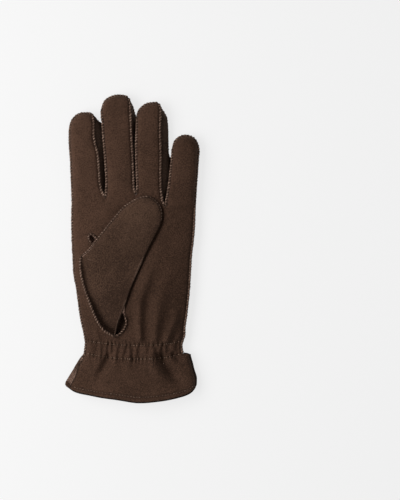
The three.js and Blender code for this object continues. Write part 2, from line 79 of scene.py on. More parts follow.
# The faces' gentle unevenness: how far it rises and falls, its wavelength and its random seed
UNEVEN = {"fingers": (0.5, 24, 3), "hand": (0.6, 28, 3), "thumb": (0.25, 22, 9)}
UNEVEN_IN, FOLDS_IN, GATHERS_IN = 3, 6, 14  # how steeply these set in from the seams at the sides


def table(names, rows):
    """A table with named columns, each an array"""
    return dict(zip(names.split(), np.array(rows, float).T))


# The ends of the fingers' first rows: both sides of the hand, and the three gaps between fingers
ROOTS = np.array([(-52.3, 44.4), (-22.8, 44.1), (3.4, 46.8), (29.0, 36.7), (55.8, 41.4)])

# Each finger: the height of its tip, where along its width the tip is highest, and how far the tip
# falls towards both edges. Its sections give the palm side's edges and how far its sides reach out.
SECTION_COLUMNS = "y palm_left palm_right side_left side_right"
FINGERS = [
    {
        "name": "index", "tip": 118.7, "apex": 0.4, "fall_left": 15, "fall_right": 1.0,
        "sections": table(SECTION_COLUMNS, [
            (44, -52.3, -24.0, -52.3, -23.4),
            (56, -52.9, -27.9, -52.9, -23.6),
            (78, -53.8, -29.5, -53.8, -23.8),
            (83, -54.2, -30.1, -54.2, -24.1),
            (92, -54.8, -32.4, -54.8, -24.6),
            (100, -54.9, -33.4, -54.9, -25.2),
            (106, -54.9, -33.3, -54.9, -26.3),
            (110.5, -54.4, -33.6, -54.4, -28.4),
            (114, -53.4, -34.2, -53.4, -30.6),
            (117.5, -52, -35.2, -52, -34.4),
        ]),
    },
    {
        "name": "middle", "tip": 134, "apex": 0.3, "fall_left": 13, "fall_right": 2.8,
        "sections": table(SECTION_COLUMNS, [
            (46, -22.2, 2.2, -21.9, 3.2),
            (54, -21.4, 1.4, -21.1, 3.0),
            (73, -22.1, 0.6, -21.8, 2.8),
            (90, -23.6, -0.3, -23.2, 2.7),
            (106, -25.2, -1.1, -24.7, 2.8),
            (117, -26.3, -1.5, -26.1, 1.7),
            (125, -26.4, -2.1, -26.4, 0.4),
            (131.2, -26.3, -3.4, -26.3, -3.4),
        ]),
    },
    {
        "name": "ring", "tip": 127.6, "apex": 0.72, "fall_left": 13, "fall_right": 1.2,
        "sections": table(SECTION_COLUMNS, [
            (44, 4.9, 26.0, 4.6, 29.6),
            (53, 5.3, 24.6, 4.7, 31.6),
            (68, 4.8, 24.5, 4.3, 32.4),
            (80, 4.4, 24.7, 4.0, 32.0),
            (103, 4.1, 24.2, 3.8, 31.6),
            (112, 4.1, 24.4, 3.9, 30.8),
            (118, 4.5, 24.5, 4.5, 28.6),
            (122.6, 5, 24.0, 5, 26.0),
            (126.4, 5, 22.4, 5, 22.4),
        ]),
    },
    {
        "name": "little", "tip": 99.1, "apex": 0, "fall_left": 13, "fall_right": 13,
        "sections": table(SECTION_COLUMNS, [
            (40, 30.0, 55.8, 29.0, 55.8),
            (50, 32.0, 56.3, 30.6, 56.3),
            (62, 33.6, 57.2, 32.2, 57.2),
            (72, 34.4, 57.9, 33.3, 57.9),
            (79, 34.8, 58.4, 34.4, 58.4),
            (86, 35.0, 59.1, 35.0, 59.1),
        ]),
    },
]

BACK_EDGE = 0.85  # where a finger's back ends, from its palm side's edge to its side's furthest reach
BACK_GAP = 0.35  # the backs of fingers that touch end this far from the line halfway between them
TOUCHING, TOUCH_BLEND = 2.8, 0.8  # fingers touch where the gap between them is narrower than this
# How far the inner fingertips end inside the outline on their left, and over which share of a finger
TIP_INSET = {"by": 0.7, "from": 0.6, "over": 0.3}
TIP_SHARE = 0.12  # the share of a finger over which its edges run together at the tip
ROOT_SHARE = 0.03  # the share over which they spread from the root
CROTCH_RISE, CROTCH_SHARE = 2.2, 0.15  # the palm side's seams climb as they meet between two fingers
FORK = {"inset": 0.6, "root_rows": 6, "root_dip": 2, "points": 13}  # the strips between the fingers

HEM_END, HEM_ROW = -116.4, -114.5  # the cuff's edge and its row of stitches
# The hand, wrist and cuff, from the hem up. A row's middle hangs lower than its ends by sag. Beside an
# open slit the back's edge lies lower than the palm's by the gap, and reaches past it by reach. flap
# widens the row past its seam on the right. crown is the palm side's height, gather the pleats' depth.
BODY = table("y sag left reach right flap z_left z_right gap_left gap_right crown gather wall", [
    (HEM_END, 16.8, -53.6, 4.2, 53.9, 1.2, 7.8, 9.0, 6.2, 7.4, 14.4, 0, HEM),
    (-112.6, 13.8, -52.0, 4.9, 53.2, 2.2, 7.8, 9.2, 6.2, 7.6, 14.4, 0, 1.6),
    (-109, 11.2, -49.4, 5.2, 51.6, 3.2, 7.4, 9.2, 5.8, 7.6, 14, 0, SUEDE),
    (-102, 8.0, -45.9, 3.9, 48.2, 4.4, 7.6, 8.9, 3.4, 7.3, 13.5, 0, SUEDE),
    (-99.5, 7.2, -45.2, 2.8, 47.2, 4.8, 7.0, 8.7, 1.4, 6.9, 13.2, 0.1, SUEDE),
    (-96, 6.2, -43.9, 1.9, 45.6, 5.4, 6.6, 8.2, 0.6, 5.8, 12.6, 0.35, SUEDE),
    (-91.6, 5.2, -42.1, 0.6, 44.0, 6.1, 6.3, 7.2, 0.2, 3.4, 11.8, 0.7, SUEDE),
    (-90.6, 5, -41.8, 0.4, 44.4, 0, 6.2, 6.2, 0.1, 0, 11.6, 0.8, SUEDE),
    (-86.9, 4.7, -41.2, 0, 44.2, 0, 6.1, 6.1, 0, 0, 12.2, 1.1, SUEDE),
    (-83.2, 4.3, -40.9, 0, 44.2, 0, 6.1, 6.1, 0, 0, 12.2, 1.1, SUEDE),
    (-79.7, 4, -41.0, 0, 45.0, 0, 6.2, 6.2, 0, 0, 11.6, 0.8, SUEDE),
    (-75, 3.4, -41.8, 0, 46.6, 0, 6.3, 6.3, 0, 0, 12.4, 0.35, SUEDE),
    (-68, 2.4, -43.2, 0, 46.7, 0, 6.4, 6.4, 0, 0, 13, 0, SUEDE),
    (-59, 1, -45.2, 0, 48.0, 0, 6.5, 6.5, 0, 0, 13.6, 0, SUEDE),
    (-47, 0, -46.8, 0, 49.4, 0, 6.6, 6.6, 0, 0, 14.2, 0, SUEDE),
    (-34, 0, -48.5, 0, 50.6, 0, 6.6, 6.6, 0, 0, 14.6, 0, SUEDE),
    (-20, 0, -51.0, 0, 51.4, 0, 6.6, 6.6, 0, 0, 15, 0, SUEDE),
    (-6, 0, -51.6, 0, 52.3, 0, 6.6, 6.6, 0, 0, 15, 0, SUEDE),
    (8, 0, -52.3, 0, 54.0, 0, 6.6, 6.6, 0, 0, 15, 0, SUEDE),
    (22, 0, -52.6, 0, 55.0, 0, 6.6, 6.6, 0, 0, 14.8, 0, SUEDE),
    (33, 0, -52.5, 0, 55.5, 0, 6.6, 6.6, 0, 0, 14.4, 0, SUEDE),
])
# How far the hem has sunk across its width, which runs from -1 to 1, as a share of its sag
HEM_MIDDLE, HEM_HALF_WIDTH = -0.8, 57.2
CUFF_FROM, CUFF_BLEND = -98, 16  # below this row the sag changes over to the hem's own, over that length
HEM_SAG = table("t share", [
    (-1, 0),
    (-0.985, 0.1),
    (-0.94, 0.22),
    (-0.85, 0.41),
    (-0.76, 0.5),
    (-0.66, 0.56),
    (-0.45, 0.7),
    (-0.23, 0.8),
    (-0.1, 0.87),
    (0.02, 0.94),
    (0.11, 0.97),
    (0.21, 0.965),
    (0.33, 0.93),
    (0.5, 0.86),
    (0.6, 0.8),
    (0.7, 0.72),
    (0.88, 0.52),
    (0.955, 0.3),
    (0.985, 0.12),
    (1, 0),
])
FLAP_FROM = 0.8  # where across the cuff its flap begins, from the middle at 0 to the edge at 1
SAG_LEFT, SAG_RIGHT = 1.9, 3.4  # powers of a row's sag on its left and right half
BACK_FLAT = 0.8  # the share of the back that lies flat
VENT_REACH = 1  # how far the back's right edge stands out beside the open slit
ROLL = {"depth": 3.0, "from": 0.95, "over": 4}  # the cuff's right edge rolls down
LEFT_SLIT, RIGHT_SLIT = -99.5, -90.6  # where the side seams end and the slits of the cuff begin
SEWN_BELOW, SEWN_OVER = 1, 3  # from that far below a slit's end, and over that length, a seam sets in
UNSEWN = {"above": 3, "over": 8, "power": 2.4}  # how the palm side rounds off beside the left slit
ELASTIC_ROWS = (-79.7, -90.6)  # the two rows of stitches that hold the elastic
ELASTIC_MIDDLE, ELASTIC_HALF = np.mean(ELASTIC_ROWS), 5.4
GATHER_DEPTH = 0.62
GATHER_FADE = 1.3  # how soon the gathers smooth out above and below the elastic
# How deep the rows of stitches pull the suede in, and over what width
PULL = {"elastic": 0.9, "elastic_width": 0.7, "hem": 1.1, "hem_width": 0.8}
# The pucker beside the elastic's rows: its pitch, how it wanders, and how far it reaches on both sides
PUCKER = {"pitch": 3.3, "wander": 2, "wave": 17, "inside": 1.4, "outside": 2.6}
HEM_BAND = {"rise": 0.6, "edge": 0.9}  # how far the turned-in hem stands up
ELASTIC_STITCH = {"pitch": 2.5, "length": 1.4, "radius": 0.3}
ELASTIC_BACK_STITCH = {"pitch": 2.5, "length": 1.4, "radius": 0.2}
HEM_STITCH = {"pitch": 2.6, "length": 1.5, "radius": 0.3, "sink": 0}
HEM_BACK_STITCH = {"pitch": 2.6, "length": 1.7, "radius": 0.14}
HEM_REACH, HEM_BLEND = 5, 0.3  # how far up from the hem the wall thins out, and over which share of that
# How finely a row of these stitches is divided, how high each arches, and how much they differ
RUN = {"step": 0.25, "arch": 1.6, "lengths": 0.2, "radii": 0.15}
# Dark beads along the cuff's edges, as painted shadow under them: their radii, how far they are sunk, and
# how far off the hem's row its own lies
EDGE_SHADOW = {"left": 0.5, "right": 0.75, "hem": 0.5, "step": 1.2, "sink": 0.45, "hem_by": [0, -0.75, -0.5]}
KNOT_AT = (27.4, -99.6)  # a loose end of thread on the cuff
KNOT_RADIUS = 0.42
KNOT = [(0, -0.3), (0, 0.1), (0.5, 0.35)]  # how far it leans and rises
CREASE_SHARE = 0.25  # how sharply creased the gathers' hollows are

# The pleats under the elastic: the ridge, the hollow to its right, and how far it leans along the band
ELASTIC_LEFT, ELASTIC_RIGHT = -41.0, 44.3
PLEATS = table("ridge hollow lean", [
    (-36.8, -30.3, 0),
    (-28.1, -25.4, 0),
    (-23.4, -21.1, 0),
    (-19.4, -16.6, 0),
    (-14.1, -11.4, 0),
    (-7.8, -5.1, 0.3),
    (-2.1, 1.2, 0),
    (3.7, 6.4, 0),
    (12.6, 14.8, 0),
    (19.4, 22.6, -0.3),
    (25.1, 27.3, 0),
    (29.8, 32.0, 0),
    (37.2, 40.6, 0),
])


def fold(rise, wide_from, wide_to, *line):
    """A fold, from where it fades out to where it is gathered; a valley has a negative rise"""
    return {"rise": rise, "wide": (wide_from, wide_to), "line": line}


FOLDS = [
    fold(3.9, 6.0, 2.9, (24, 2), (14.8, -22.9), (7.0, -44.6), (6.6, -62), (7.4, -78)),
    fold(3.0, 9.0, 3.6, (33, -12), (28.7, -27), (25, -46), (21.6, -62), (20.2, -78)),
    fold(3.2, 6.0, 2.6, (46, -46), (41, -54), (38.3, -62), (33.8, -70.8), (30.5, -79)),
    fold(1.6, 3.0, 2.0, (46, -66), (42.5, -72), (40, -79)),
    fold(0.9, 3.5, 2.2, (-33.4, -56), (-29.3, -77.5)),
    fold(-0.8, 3.5, 2.2, (-40, -62), (-34.8, -80)),
    fold(-2.7, 5.0, 2.8, (-33, -119), (-28.7, -111), (-25, -104), (-21.8, -99), (-20, -92.5)),
    fold(1.5, 5.0, 2.8, (-38, -116), (-33.8, -110), (-29.0, -102), (-26.4, -93)),
    fold(-0.9, 2.6, 1.4, (-37, -99.5), (-32, -92.3)),
    fold(0.9, 4.5, 2.4, (-12, -112), (-14.8, -101), (-14, -93)),
    fold(0.9, 4.0, 2.4, (-1, -112), (-2.6, -101), (-3, -93.5)),
    fold(-5.2, 7.0, 3.2, (50, -124), (41.8, -115), (34.4, -107), (29.2, -100.5), (25.6, -92.5)),
    fold(2.6, 6.0, 3.2, (31, -119), (26.4, -111.5), (20.8, -105), (18.6, -101), (16.2, -93)),
    fold(-3.4, 3.6, 2.2, (47, -98), (41.4, -96.2), (36.4, -91.4)),
]
FOLD_FADE = 1.6
PRESS = {"line": [(-12, -10), (8, 30)], "reach": 24, "rim": 0.2, "depth": 3.8}  # the thumb's weight

# The thumb from its root to its tip: its seam, its folded edge, how thick it is, how high its seam lies
# over the palm, and the far edge of its opening in the palm for the rows whose root is sewn into it
THUMB_ROOT = (-14.5, -75.6)
THUMB_TIP = (14.4, 44.6)
THUMB = table("x_seam y_seam x_fold y_fold height seam x_hole y_hole", [
    (-19.2, -73.8, -13.4, -70.0, 4.6, 1, -9.8, -73.4),
    (-25.4, -69.2, -11.6, -62.6, 7.4, 1, -6.0, -68.6),
    (-31.2, -59.6, -8.0, -53.4, 9, 1, -4.6, -61.6),
    (-36.0, -47.6, -4.2, -42.6, 9.6, 1, -10.4, -50.5),
    (-40.1, -36.5, -0.6, -32.8, 9.8, 1, -14.5, -38),
    (-43.5, -23.6, 3.6, -22.4, 9.8, 1, -21.5, -25),
    (-44.5, -12.6, 8.2, -12.4, 9.8, 1, -30.5, -13),
    (-43.4, -6.7, 11.8, -5.0, 9.8, 1.2, -42.6, -6.9),
    (-37.4, -1.8, 15.0, 1.6, 9.8, 2.2, 0, 0),
    (-29.8, 7.6, 18.6, 8.6, 9.8, 3, 0, 0),
    (-22.6, 16.6, 22.0, 15.3, 9.6, 3.6, 0, 0),
    (-14.2, 27.0, 24.8, 22.0, 9.2, 4, 0, 0),
    (-6.8, 35.4, 25.5, 30.0, 8.6, 3.8, 0, 0),
    (0.8, 40.8, 24.0, 36.3, 7.6, 3.4, 0, 0),
    (7.2, 43.8, 20.2, 41.2, 6, 2.8, 0, 0),
])
SEWN_ROWS = 8
THUMB_ENDS = {"height": (0.6, 1.2), "seam": (1, 2.2)}  # these columns at the very root and tip
# Where along the thumb, in rows from its root, it changes over, and in how many rows: towards its root
# it is sewn in, lies lower and opens into a pocket, and towards its tip it is full
CHANGES = {"sewn": (SEWN_ROWS + 0.6, -2.5), "full": (5, 6), "root": (7, -5), "pocket": (3.6, -1.2)}
HOLE_ROWS = 3.4  # the rows along which the opening's far edge has a seam of its own
HOLE_RISE, QUIRK_RISE = 0.9, 0.2  # how far these seams stand above the palm
THUMB_SEAM_END = 12.2  # the row to which the seam comes back down the fold from the tip
THUMB_LIFT = 0.6  # the gap between the thumb and the palm under it
THUMB_LAP = 0.3  # how far the palm reaches in under the thumb's seam
LIP = 1.9  # how far the palm swells up to the thumb's seam
LIP_UNDER = 0.3  # how far under the seam the palm's own edge stays
LIP_WIDTH = 3.0
# The thumb's folded edge presses into the palm, between these of its rows
GROOVE = {"depth": 1.6, "half_width": 1.5, "inset": 0.4, "from": 3, "to": 14}
# How far the thumb's seam leans outwards and upwards, where it runs free and where it is let in
THUMB_SEAM_OUT, THUMB_SEAM_UP = (0.9, 0.25), (0.5, 1)
THUMB_PUFF = 0.85  # how full the thumb is at its tip and at its root, against the CAD model's
ROOT_PUFF = 0.2
VALLEY_DEPTH = (2.8, 7.2)  # how far the thumb sinks in beside its seam, at its middle and at its root
VALLEY_WIDTH = (7.0, 8.0)
VALLEY_FROM = 3.6  # how far from the seam the valley is deepest
VALLEY_EDGE, VALLEY_POWER = 3.0, 1.4  # how wide its side at the seam is, and how it fades on the other
# Past the far edge of its opening the thumb's root rests on the palm: from how far past it, over what
# width, how high above the palm, how low it may sink over the opening, and how rounded the change is
RESTING = {"past": 1, "over": 3, "above": 1.5, "sunk": -8, "round": 1.2}
FOLD_SHARE = 0.18  # the height of the folded edge, as a share of the thumb's
FOLD_ROUND = 2.2  # how far from the folded edge the lower layer turns under
FOLD_POWER, FOLD_SOFT = 5, 0.4  # how squarely the upper layer turns down to the fold, and how softened
POCKET = 6.5  # how deep the thumb's root hangs into its opening

# The gusset beside the thumb: its corners from the left one round, and its cup from the rim inwards
QUIRK = np.array([(-37.4, 8.4), (-34.0, 3.6), (-29.5, 8.2), (-34.5, 12.9), (-37.2, 12.3)])
QUIRK_DEPTH = 8
QUIRK_CUP = table("plan depth", [(1.08, 0.1), (1, 0.1), (0.85, 0.7), (0.6, 0.95), (0.3, 1), (0, 1)])

# How finely the sheets are divided, and the steps between the rows of the cuff, the wrist and the hand
FINGER_COLUMNS = 30
FINGER_ROWS = 84
BLEND_ROWS = 11
THUMB_ROWS = 150
THUMB_COLUMNS = 44
FINGER_CROWDING = 1.4  # how much closer a finger's rows lie towards its tip
THUMB_CROWDING = {"rows": 0.85, "upper": 0.8, "lower": 1.3}  # for its rows, and across both its layers
WRIST_END, WRIST_TOP, HAND_TOP = -98, -74, 33
CUFF_STEP, WRIST_STEP, HAND_STEP = 0.75, 0.6, 1.07


def clamp(v):
    return np.clip(v, 0, 1)


def mix(a, b, s):
    return a + (b - a) * s


def ease(s):
    return s * s * (3 - 2 * s)


def ramp(s):
    """Rises smoothly from 0 to 1 as s does, and stays there on both sides"""
    return ease(clamp(s))


def hump(s):
    """1 at 0, and less on both sides, like a bell's outline"""
    return np.exp(-(s**2))


def either(a, b, blend):
    """The higher of two heights, with a rounded change from one to the other"""
    return (a + b + np.sqrt((a - b) ** 2 + blend**2)) / 2


def quarter(s, power=ROUND):
    """Falls from 1 to 0 while s goes from 0 to 1, like a quarter of a rounded outline"""
    return (1 - clamp(np.abs(s)) ** power) ** (1 / power)


def curve_through(x, y, at):
    """A smooth curve through the points (x, y) that never overshoots them"""
    steps = np.diff(x)
    slopes = np.diff(y) / steps
    left, right = slopes[:-1], slopes[1:]
    same = left * right > 0
    weight_left, weight_right = 2 * steps[1:] + steps[:-1], steps[1:] + 2 * steps[:-1]
    bends = np.zeros(len(y))
    bends[0], bends[-1] = slopes[0], slopes[-1]
    safe = np.where(same, left, 1), np.where(same, right, 1)
    mean = (weight_left + weight_right) / (weight_left / safe[0] + weight_right / safe[1])
    bends[1:-1] = np.where(same, mean, 0)
    k = np.clip(np.searchsorted(x, at, side="right") - 1, 0, len(x) - 2)
    s = clamp((at - x[k]) / steps[k])
    bend = s * (1 - s) * steps[k] * ((1 - s) * (bends[k] - slopes[k]) - s * (bends[k + 1] - slopes[k]))
    return mix(y[k], y[k + 1], s) + bend


def read(rows, column, at):
    """A table's column between its rows, which go up in their first column"""
    return curve_through(next(iter(rows.values())), rows[column], at)


def along_line(line, x, y):
    """How far the points (x, y) are from a line of points, and which share of the line they lie beside"""
    line = np.array(line, float)
    ends = lengths(line)
    nearest, share = np.full(np.shape(x), np.inf), np.zeros(np.shape(x))
    for k, ((x1, y1), (dx, dy)) in enumerate(zip(line, np.diff(line, axis=0))):
        s = clamp(((x - x1) * dx + (y - y1) * dy) / (dx * dx + dy * dy))
        gap = np.hypot(x - x1 - s * dx, y - y1 - s * dy)
        share = np.where(gap < nearest, mix(ends[k], ends[k + 1], s) / ends[-1], share)
        nearest = np.minimum(gap, nearest)
    return nearest, share


def distance_to(line, x, y):
    return along_line(line, x, y)[0]


def ripple(x, y, wave, seed):
    """Gentle unevenness of about that wavelength, between -1 and 1"""
    random = np.random.default_rng(seed)
    total = 0
    for angle, phase, stretch in random.uniform((0, 0, 0.7), (np.pi, 2 * np.pi, 1.4), (7, 3)):
        along = x * np.cos(angle) + y * np.sin(angle)
        total = total + np.sin(2 * np.pi * along / (wave * stretch) + phase)
    return total / 7


def uneven(where, x, y):
    rise, wave, seed = UNEVEN[where]
    return rise * ripple(x, y, wave, seed)


def fold_rise(x, y):
    """How far the folds, and the thumb's weight, raise or lower the palm at (x, y)"""
    folds = 0
    for one in FOLDS:
        gap, share = along_line(one["line"], x, y)
        wide = mix(*one["wide"], share)
        folds = folds + one["rise"] * ramp(FOLD_FADE * share) * hump(gap / wide)
    dent = ramp(1 + PRESS["rim"] - distance_to(PRESS["line"], x, y) / PRESS["reach"])
    return folds - PRESS["depth"] * dent


def finger_surface(i, t, s, on_palm):
    """Points of finger i: t runs from its left edge at -1 to its right edge at 1, s from root to tip"""
    finger, start, end = FINGERS[i], ROOTS[i], ROOTS[i + 1]
    across = (t + 1) / 2
    tip, sections = finger["tip"] - SEAM_INSET, finger["sections"]

    def fall(u):
        left = finger["fall_left"] * (1 - quarter((u - finger["apex"]) / (1 + finger["apex"])))
        right = finger["fall_right"] * (1 - quarter((u - finger["apex"]) / (1 - finger["apex"])))
        return np.where(u < finger["apex"], left, right)

    def edge(root, u, side):
        y = mix(root[1], tip - fall(u), s)
        palm = read(sections, "palm_" + side, y)
        reach = read(sections, "side_" + side, y)
        back = mix(palm, reach, BACK_EDGE)
        step = 1 if side == "right" else -1
        if 0 <= i + step < len(FINGERS):
            facing = read(FINGERS[i + step]["sections"], "side_left" if step > 0 else "side_right", y)
            beside = ramp((TOUCHING - step * (facing - reach)) / TOUCH_BLEND)
            back = mix(back, (reach + facing) / 2 - step * BACK_GAP, beside)
        back = mix(palm, back, ramp((1 - s) / TIP_SHARE))
        return mix(root[0], palm if on_palm else back, ramp(s / ROOT_SHARE))

    near_tip = ramp((s - TIP_INSET["from"]) / TIP_INSET["over"])
    left_in = SEAM_INSET if i == 0 else TIP_INSET["by"] * near_tip
    right_in = SEAM_INSET if i == len(FINGERS) - 1 else 0
    x = mix(edge(start, -1, "left") + left_in, edge(end, 1, "right") - right_in, across)
    y = mix(mix(start[1], end[1], across), tip - fall(t), s)
    full = quarter(clamp(1 - (1 - s) * (tip - start[1]) / TIP_LENGTH))
    fork = PALM_SEAM + CROTCH_RISE * (1 - ramp(s / CROTCH_SHARE)) if on_palm else BACK_SEAM
    left = mix(TIP_SEAM, SIDE_SEAM if i == 0 else fork, full)
    right = mix(TIP_SEAM, SIDE_SEAM if i == len(FINGERS) - 1 else fork, full)
    if on_palm:
        z = mix(mix(left, right, across), FINGER_CROWN, quarter(t, FINGER_FLAT) * full)
        z = z + uneven("fingers", x, y) * clamp(UNEVEN_IN * (1 - np.abs(t))) * full
    else:
        rise = clamp(2 * np.abs(t) - 1) ** 2
        z = mix(TIP_SEAM * (1 - full), np.where(t < 0, left, right), rise)
    return np.stack([x, y, z * np.ones_like(x)], -1)


def pleat_height(share, y):
    """1 on the ridges of the gathers and -1 in their hollows, which are creased"""
    x = mix(ELASTIC_LEFT, ELASTIC_RIGHT, share)
    lean = np.interp(x, PLEATS["ridge"], PLEATS["lean"]) * (y - ELASTIC_MIDDLE)
    x = x - np.clip(lean, -1.5, 1.5)
    knots = np.stack([PLEATS["ridge"], PLEATS["hollow"]], -1).reshape(-1)
    knots = np.concatenate([[ELASTIC_LEFT], knots, [ELASTIC_RIGHT]])
    k = np.clip(np.searchsorted(knots, x, side="right") - 1, 0, len(knots) - 2)
    s = clamp((x - knots[k]) / (knots[k + 1] - knots[k]))
    from_ridge = np.where(k % 2 == 1, s, 1 - s)
    return mix(np.cos(np.pi * from_ridge), 2 * np.cos(np.pi / 2 * from_ridge) - 1, CREASE_SHARE)


def body_surface(y_row, t, on_palm):
    """Points of the hand, wrist or cuff"""
    row = {name: read(BODY, name, y_row) for name in BODY}
    across = (t + 1) / 2
    flap = ramp((t - FLAP_FROM) / (1 - FLAP_FROM)) * row["flap"]
    left_in = SEAM_INSET * ramp((y_row - LEFT_SLIT + SEWN_BELOW) / SEWN_OVER)
    right_in = SEAM_INSET * ramp((y_row - RIGHT_SLIT + SEWN_BELOW) / SEWN_OVER)
    x = mix(row["left"] + left_in, row["right"] - right_in, across) + flap
    if not on_palm:
        vent = VENT_REACH * ramp(t) * clamp(row["gap_right"])
        x = x + vent - (row["reach"] + left_in * clamp(row["reach"])) * ramp(-t)
    sag = 1 - np.where(t < 0, np.abs(t) ** SAG_LEFT, np.abs(t) ** SAG_RIGHT)
    hem_sag = read(HEM_SAG, "share", (x - HEM_MIDDLE) / HEM_HALF_WIDTH)
    y = y_row - row["sag"] * mix(sag, hem_sag, ramp((CUFF_FROM - y_row) / CUFF_BLEND))
    inside = 1 - np.abs(t)
    beyond = np.maximum(0, np.abs(y_row - ELASTIC_MIDDLE) - ELASTIC_HALF)
    gather = row["gather"] * pleat_height(across, y_row) * hump(beyond / GATHER_FADE)
    if on_palm:
        round_off = quarter(t, np.where(t < 0, FLAT_ROUND, RIGHT_ROUND))
        unsewn = ramp((LEFT_SLIT + UNSEWN["above"] - y_row) / UNSEWN["over"]) * (t < 0)
        round_off = mix(round_off, 1 - np.abs(t) ** UNSEWN["power"], unsewn)
        z = mix(mix(row["z_left"], row["z_right"], across), row["crown"], round_off)
        folds_in, gathers_in = clamp(FOLDS_IN * inside), clamp(GATHERS_IN * inside)
        z = z + GATHER_DEPTH * gather * gathers_in + fold_rise(x, y) * folds_in
        z = z + stitch_dip(x, y_row) * gathers_in
        at_edge = ramp((t - ROLL["from"]) / (1 - ROLL["from"]))
        z = z - ROLL["depth"] * at_edge * ramp((RIGHT_SLIT - y_row) / ROLL["over"])
        z = z + uneven("hand", x, y) * folds_in
        return np.stack([x, y, z], -1)
    rise = clamp((np.abs(t) - BACK_FLAT) / (1 - BACK_FLAT)) ** 2
    edge = np.where(t < 0, row["z_left"] - row["gap_left"], row["z_right"] - row["gap_right"])
    lift = (row["gather"] + gather) * (1 - rise) / 2
    return np.stack([x, y - (row["wall"] - SUEDE), edge * rise + lift], -1)


def stitch_dip(x, y_row):
    """The rows of stitches pull the suede in and pucker it"""
    dip = 0
    for k, row in enumerate(ELASTIC_ROWS):
        away = np.abs(y_row - row)
        wander = PUCKER["wander"] * ripple(x, 0, PUCKER["wave"], 40 + k)
        pucker = 1 - 2 * np.abs(np.sin(np.pi * x / PUCKER["pitch"] + wander))
        outside = (y_row > row) if k == 0 else (y_row < row)
        reach = np.where(outside, PUCKER["outside"], PUCKER["inside"])
        dip = dip - PULL["elastic"] * hump(away / PULL["elastic_width"])
        dip = dip - PULL["elastic"] * pucker * hump(away / reach)
    hem = hump(np.abs(y_row - HEM_ROW) / PULL["hem_width"])
    band = ramp((HEM_ROW - y_row) / HEM_BAND["edge"]) * ramp((y_row - HEM_END) / HEM_BAND["edge"])
    return dip - PULL["hem"] * hem + HEM_BAND["rise"] * band


def crowded(count, crowding=0.5):
    """From -1 to 1, closer together towards both ends"""
    u = np.linspace(-1, 1, count + 1)
    return (1 - crowding) * u + crowding * np.sin(u * np.pi / 2)


def hand_grids(on_palm):
    """The palm or the back as grids of points: the hand with the cuff, and the four fingers"""
    t = crowded(FINGER_COLUMNS)[None, :]
    s = (1 - (1 - np.linspace(0, 1, FINGER_ROWS + 1)) ** FINGER_CROWDING)[:, None]
    fingers = [finger_surface(i, t, s, on_palm) for i in range(len(FINGERS))]
    root = np.concatenate([f[0, (1 if i else 0):] for i, f in enumerate(fingers)])
    share = (root[:, 0] - root[0, 0]) / (root[-1, 0] - root[0, 0])
    y_rows = np.unique(np.round(np.concatenate([
        np.arange(HEM_END, WRIST_END, CUFF_STEP),
        np.arange(WRIST_END, WRIST_TOP, WRIST_STEP),
        np.arange(WRIST_TOP, HAND_TOP, HAND_STEP),
        BODY["y"],
    ]), 3))
    body = body_surface(y_rows[:, None], 2 * share[None, :] - 1, on_palm)
    up = np.linspace(0, 1, BLEND_ROWS + 1)[1:, None, None]
    blend = np.concatenate([
        mix(body[-1], root, up)[..., :2],
        mix(body[-1], root, ease(up))[..., 2:],
    ], -1)
    return np.concatenate([body, blend]), fingers, y_rows


def gap_edge(fingers, i):
    """Down the right edge of finger i, round the root of the gap and up the left edge of its neighbour"""
    return np.concatenate([fingers[i][::-1, -1], fingers[i + 1][1:, 0]])


def fourchette_grid(i, palm, back):
    """The forked strip in gap i"""
    top, bottom = gap_edge(palm, i), gap_edge(back, i)
    rows = len(palm[i])
    side = np.concatenate([
        read(FINGERS[i]["sections"], "side_right", top[:rows, 1]) - FORK["inset"],
        read(FINGERS[i + 1]["sections"], "side_left", top[rows:, 1]),
    ])
    middle = (top + bottom) / 2
    near_root = ramp(1 - np.abs(np.arange(len(top)) - rows + 1) / FORK["root_rows"])
    bulge = middle.copy()
    bulge[:, 0] = mix(2 * side - middle[:, 0], middle[:, 0], near_root)
    bulge[:, 1] = middle[:, 1] - FORK["root_dip"] * near_root
    u = np.linspace(0, 1, FORK["points"])[None, :, None]
    return (1 - u) ** 2 * top[:, None] + 2 * u * (1 - u) * bulge[:, None] + u**2 * bottom[:, None]


class Sheet:
    """A sheet of leather without thickness: points, faces that look outwards, and normals"""

    def __init__(self, grids, flip=False):
        points = np.concatenate([g.reshape(-1, 3) for g in grids])
        faces, start = [], 0
        for g in grids:
            k = np.arange(g.shape[0] * g.shape[1]).reshape(g.shape[:2]) + start
            quads = np.stack([k[:-1, :-1], k[:-1, 1:], k[1:, 1:], k[1:, :-1]], -1).reshape(-1, 4)
            faces.append(quads[:, ::-1] if flip else quads)
            start += k.size
        whole = np.round(points / WELD).astype(np.int64)
        _, first, place = np.unique(whole, axis=0, return_index=True, return_inverse=True)
        self.points = points[first]
        self.faces = place.reshape(-1)[np.concatenate(faces)]
        corners = np.array([len(set(face)) for face in self.faces.tolist()])
        self.faces = self.faces[corners > 2]
        self.measure()

    def measure(self):
        a, b, c, d = (self.points[self.faces[:, k]] for k in range(4))
        normal = np.cross(c - a, d - b)
        total = np.zeros_like(self.points)
        for k in range(4):
            np.add.at(total, self.faces[:, k], normal)
        self.normals = total / np.maximum(np.linalg.norm(total, axis=1, keepdims=True), 1e-9)

    def cut(self, outline):
        """Takes out what lies inside a closed outline, with its edge drawn onto that outline"""
        closed = [*outline, outline[0]]
        x, y = self.points[:, 0], self.points[:, 1]
        for v in np.nonzero(distance_to(closed, x, y) < SNAP)[0]:
            self.points[v, :2] = nearest_on(closed, self.points[v, :2])
        centre = self.points[self.faces].mean(1)
        self.faces = self.faces[~inside_of(closed, centre[:, 0], centre[:, 1])]
        used, place = np.unique(self.faces, return_inverse=True)
        self.points = self.points[used]
        self.faces = place.reshape(self.faces.shape)
        self.measure()


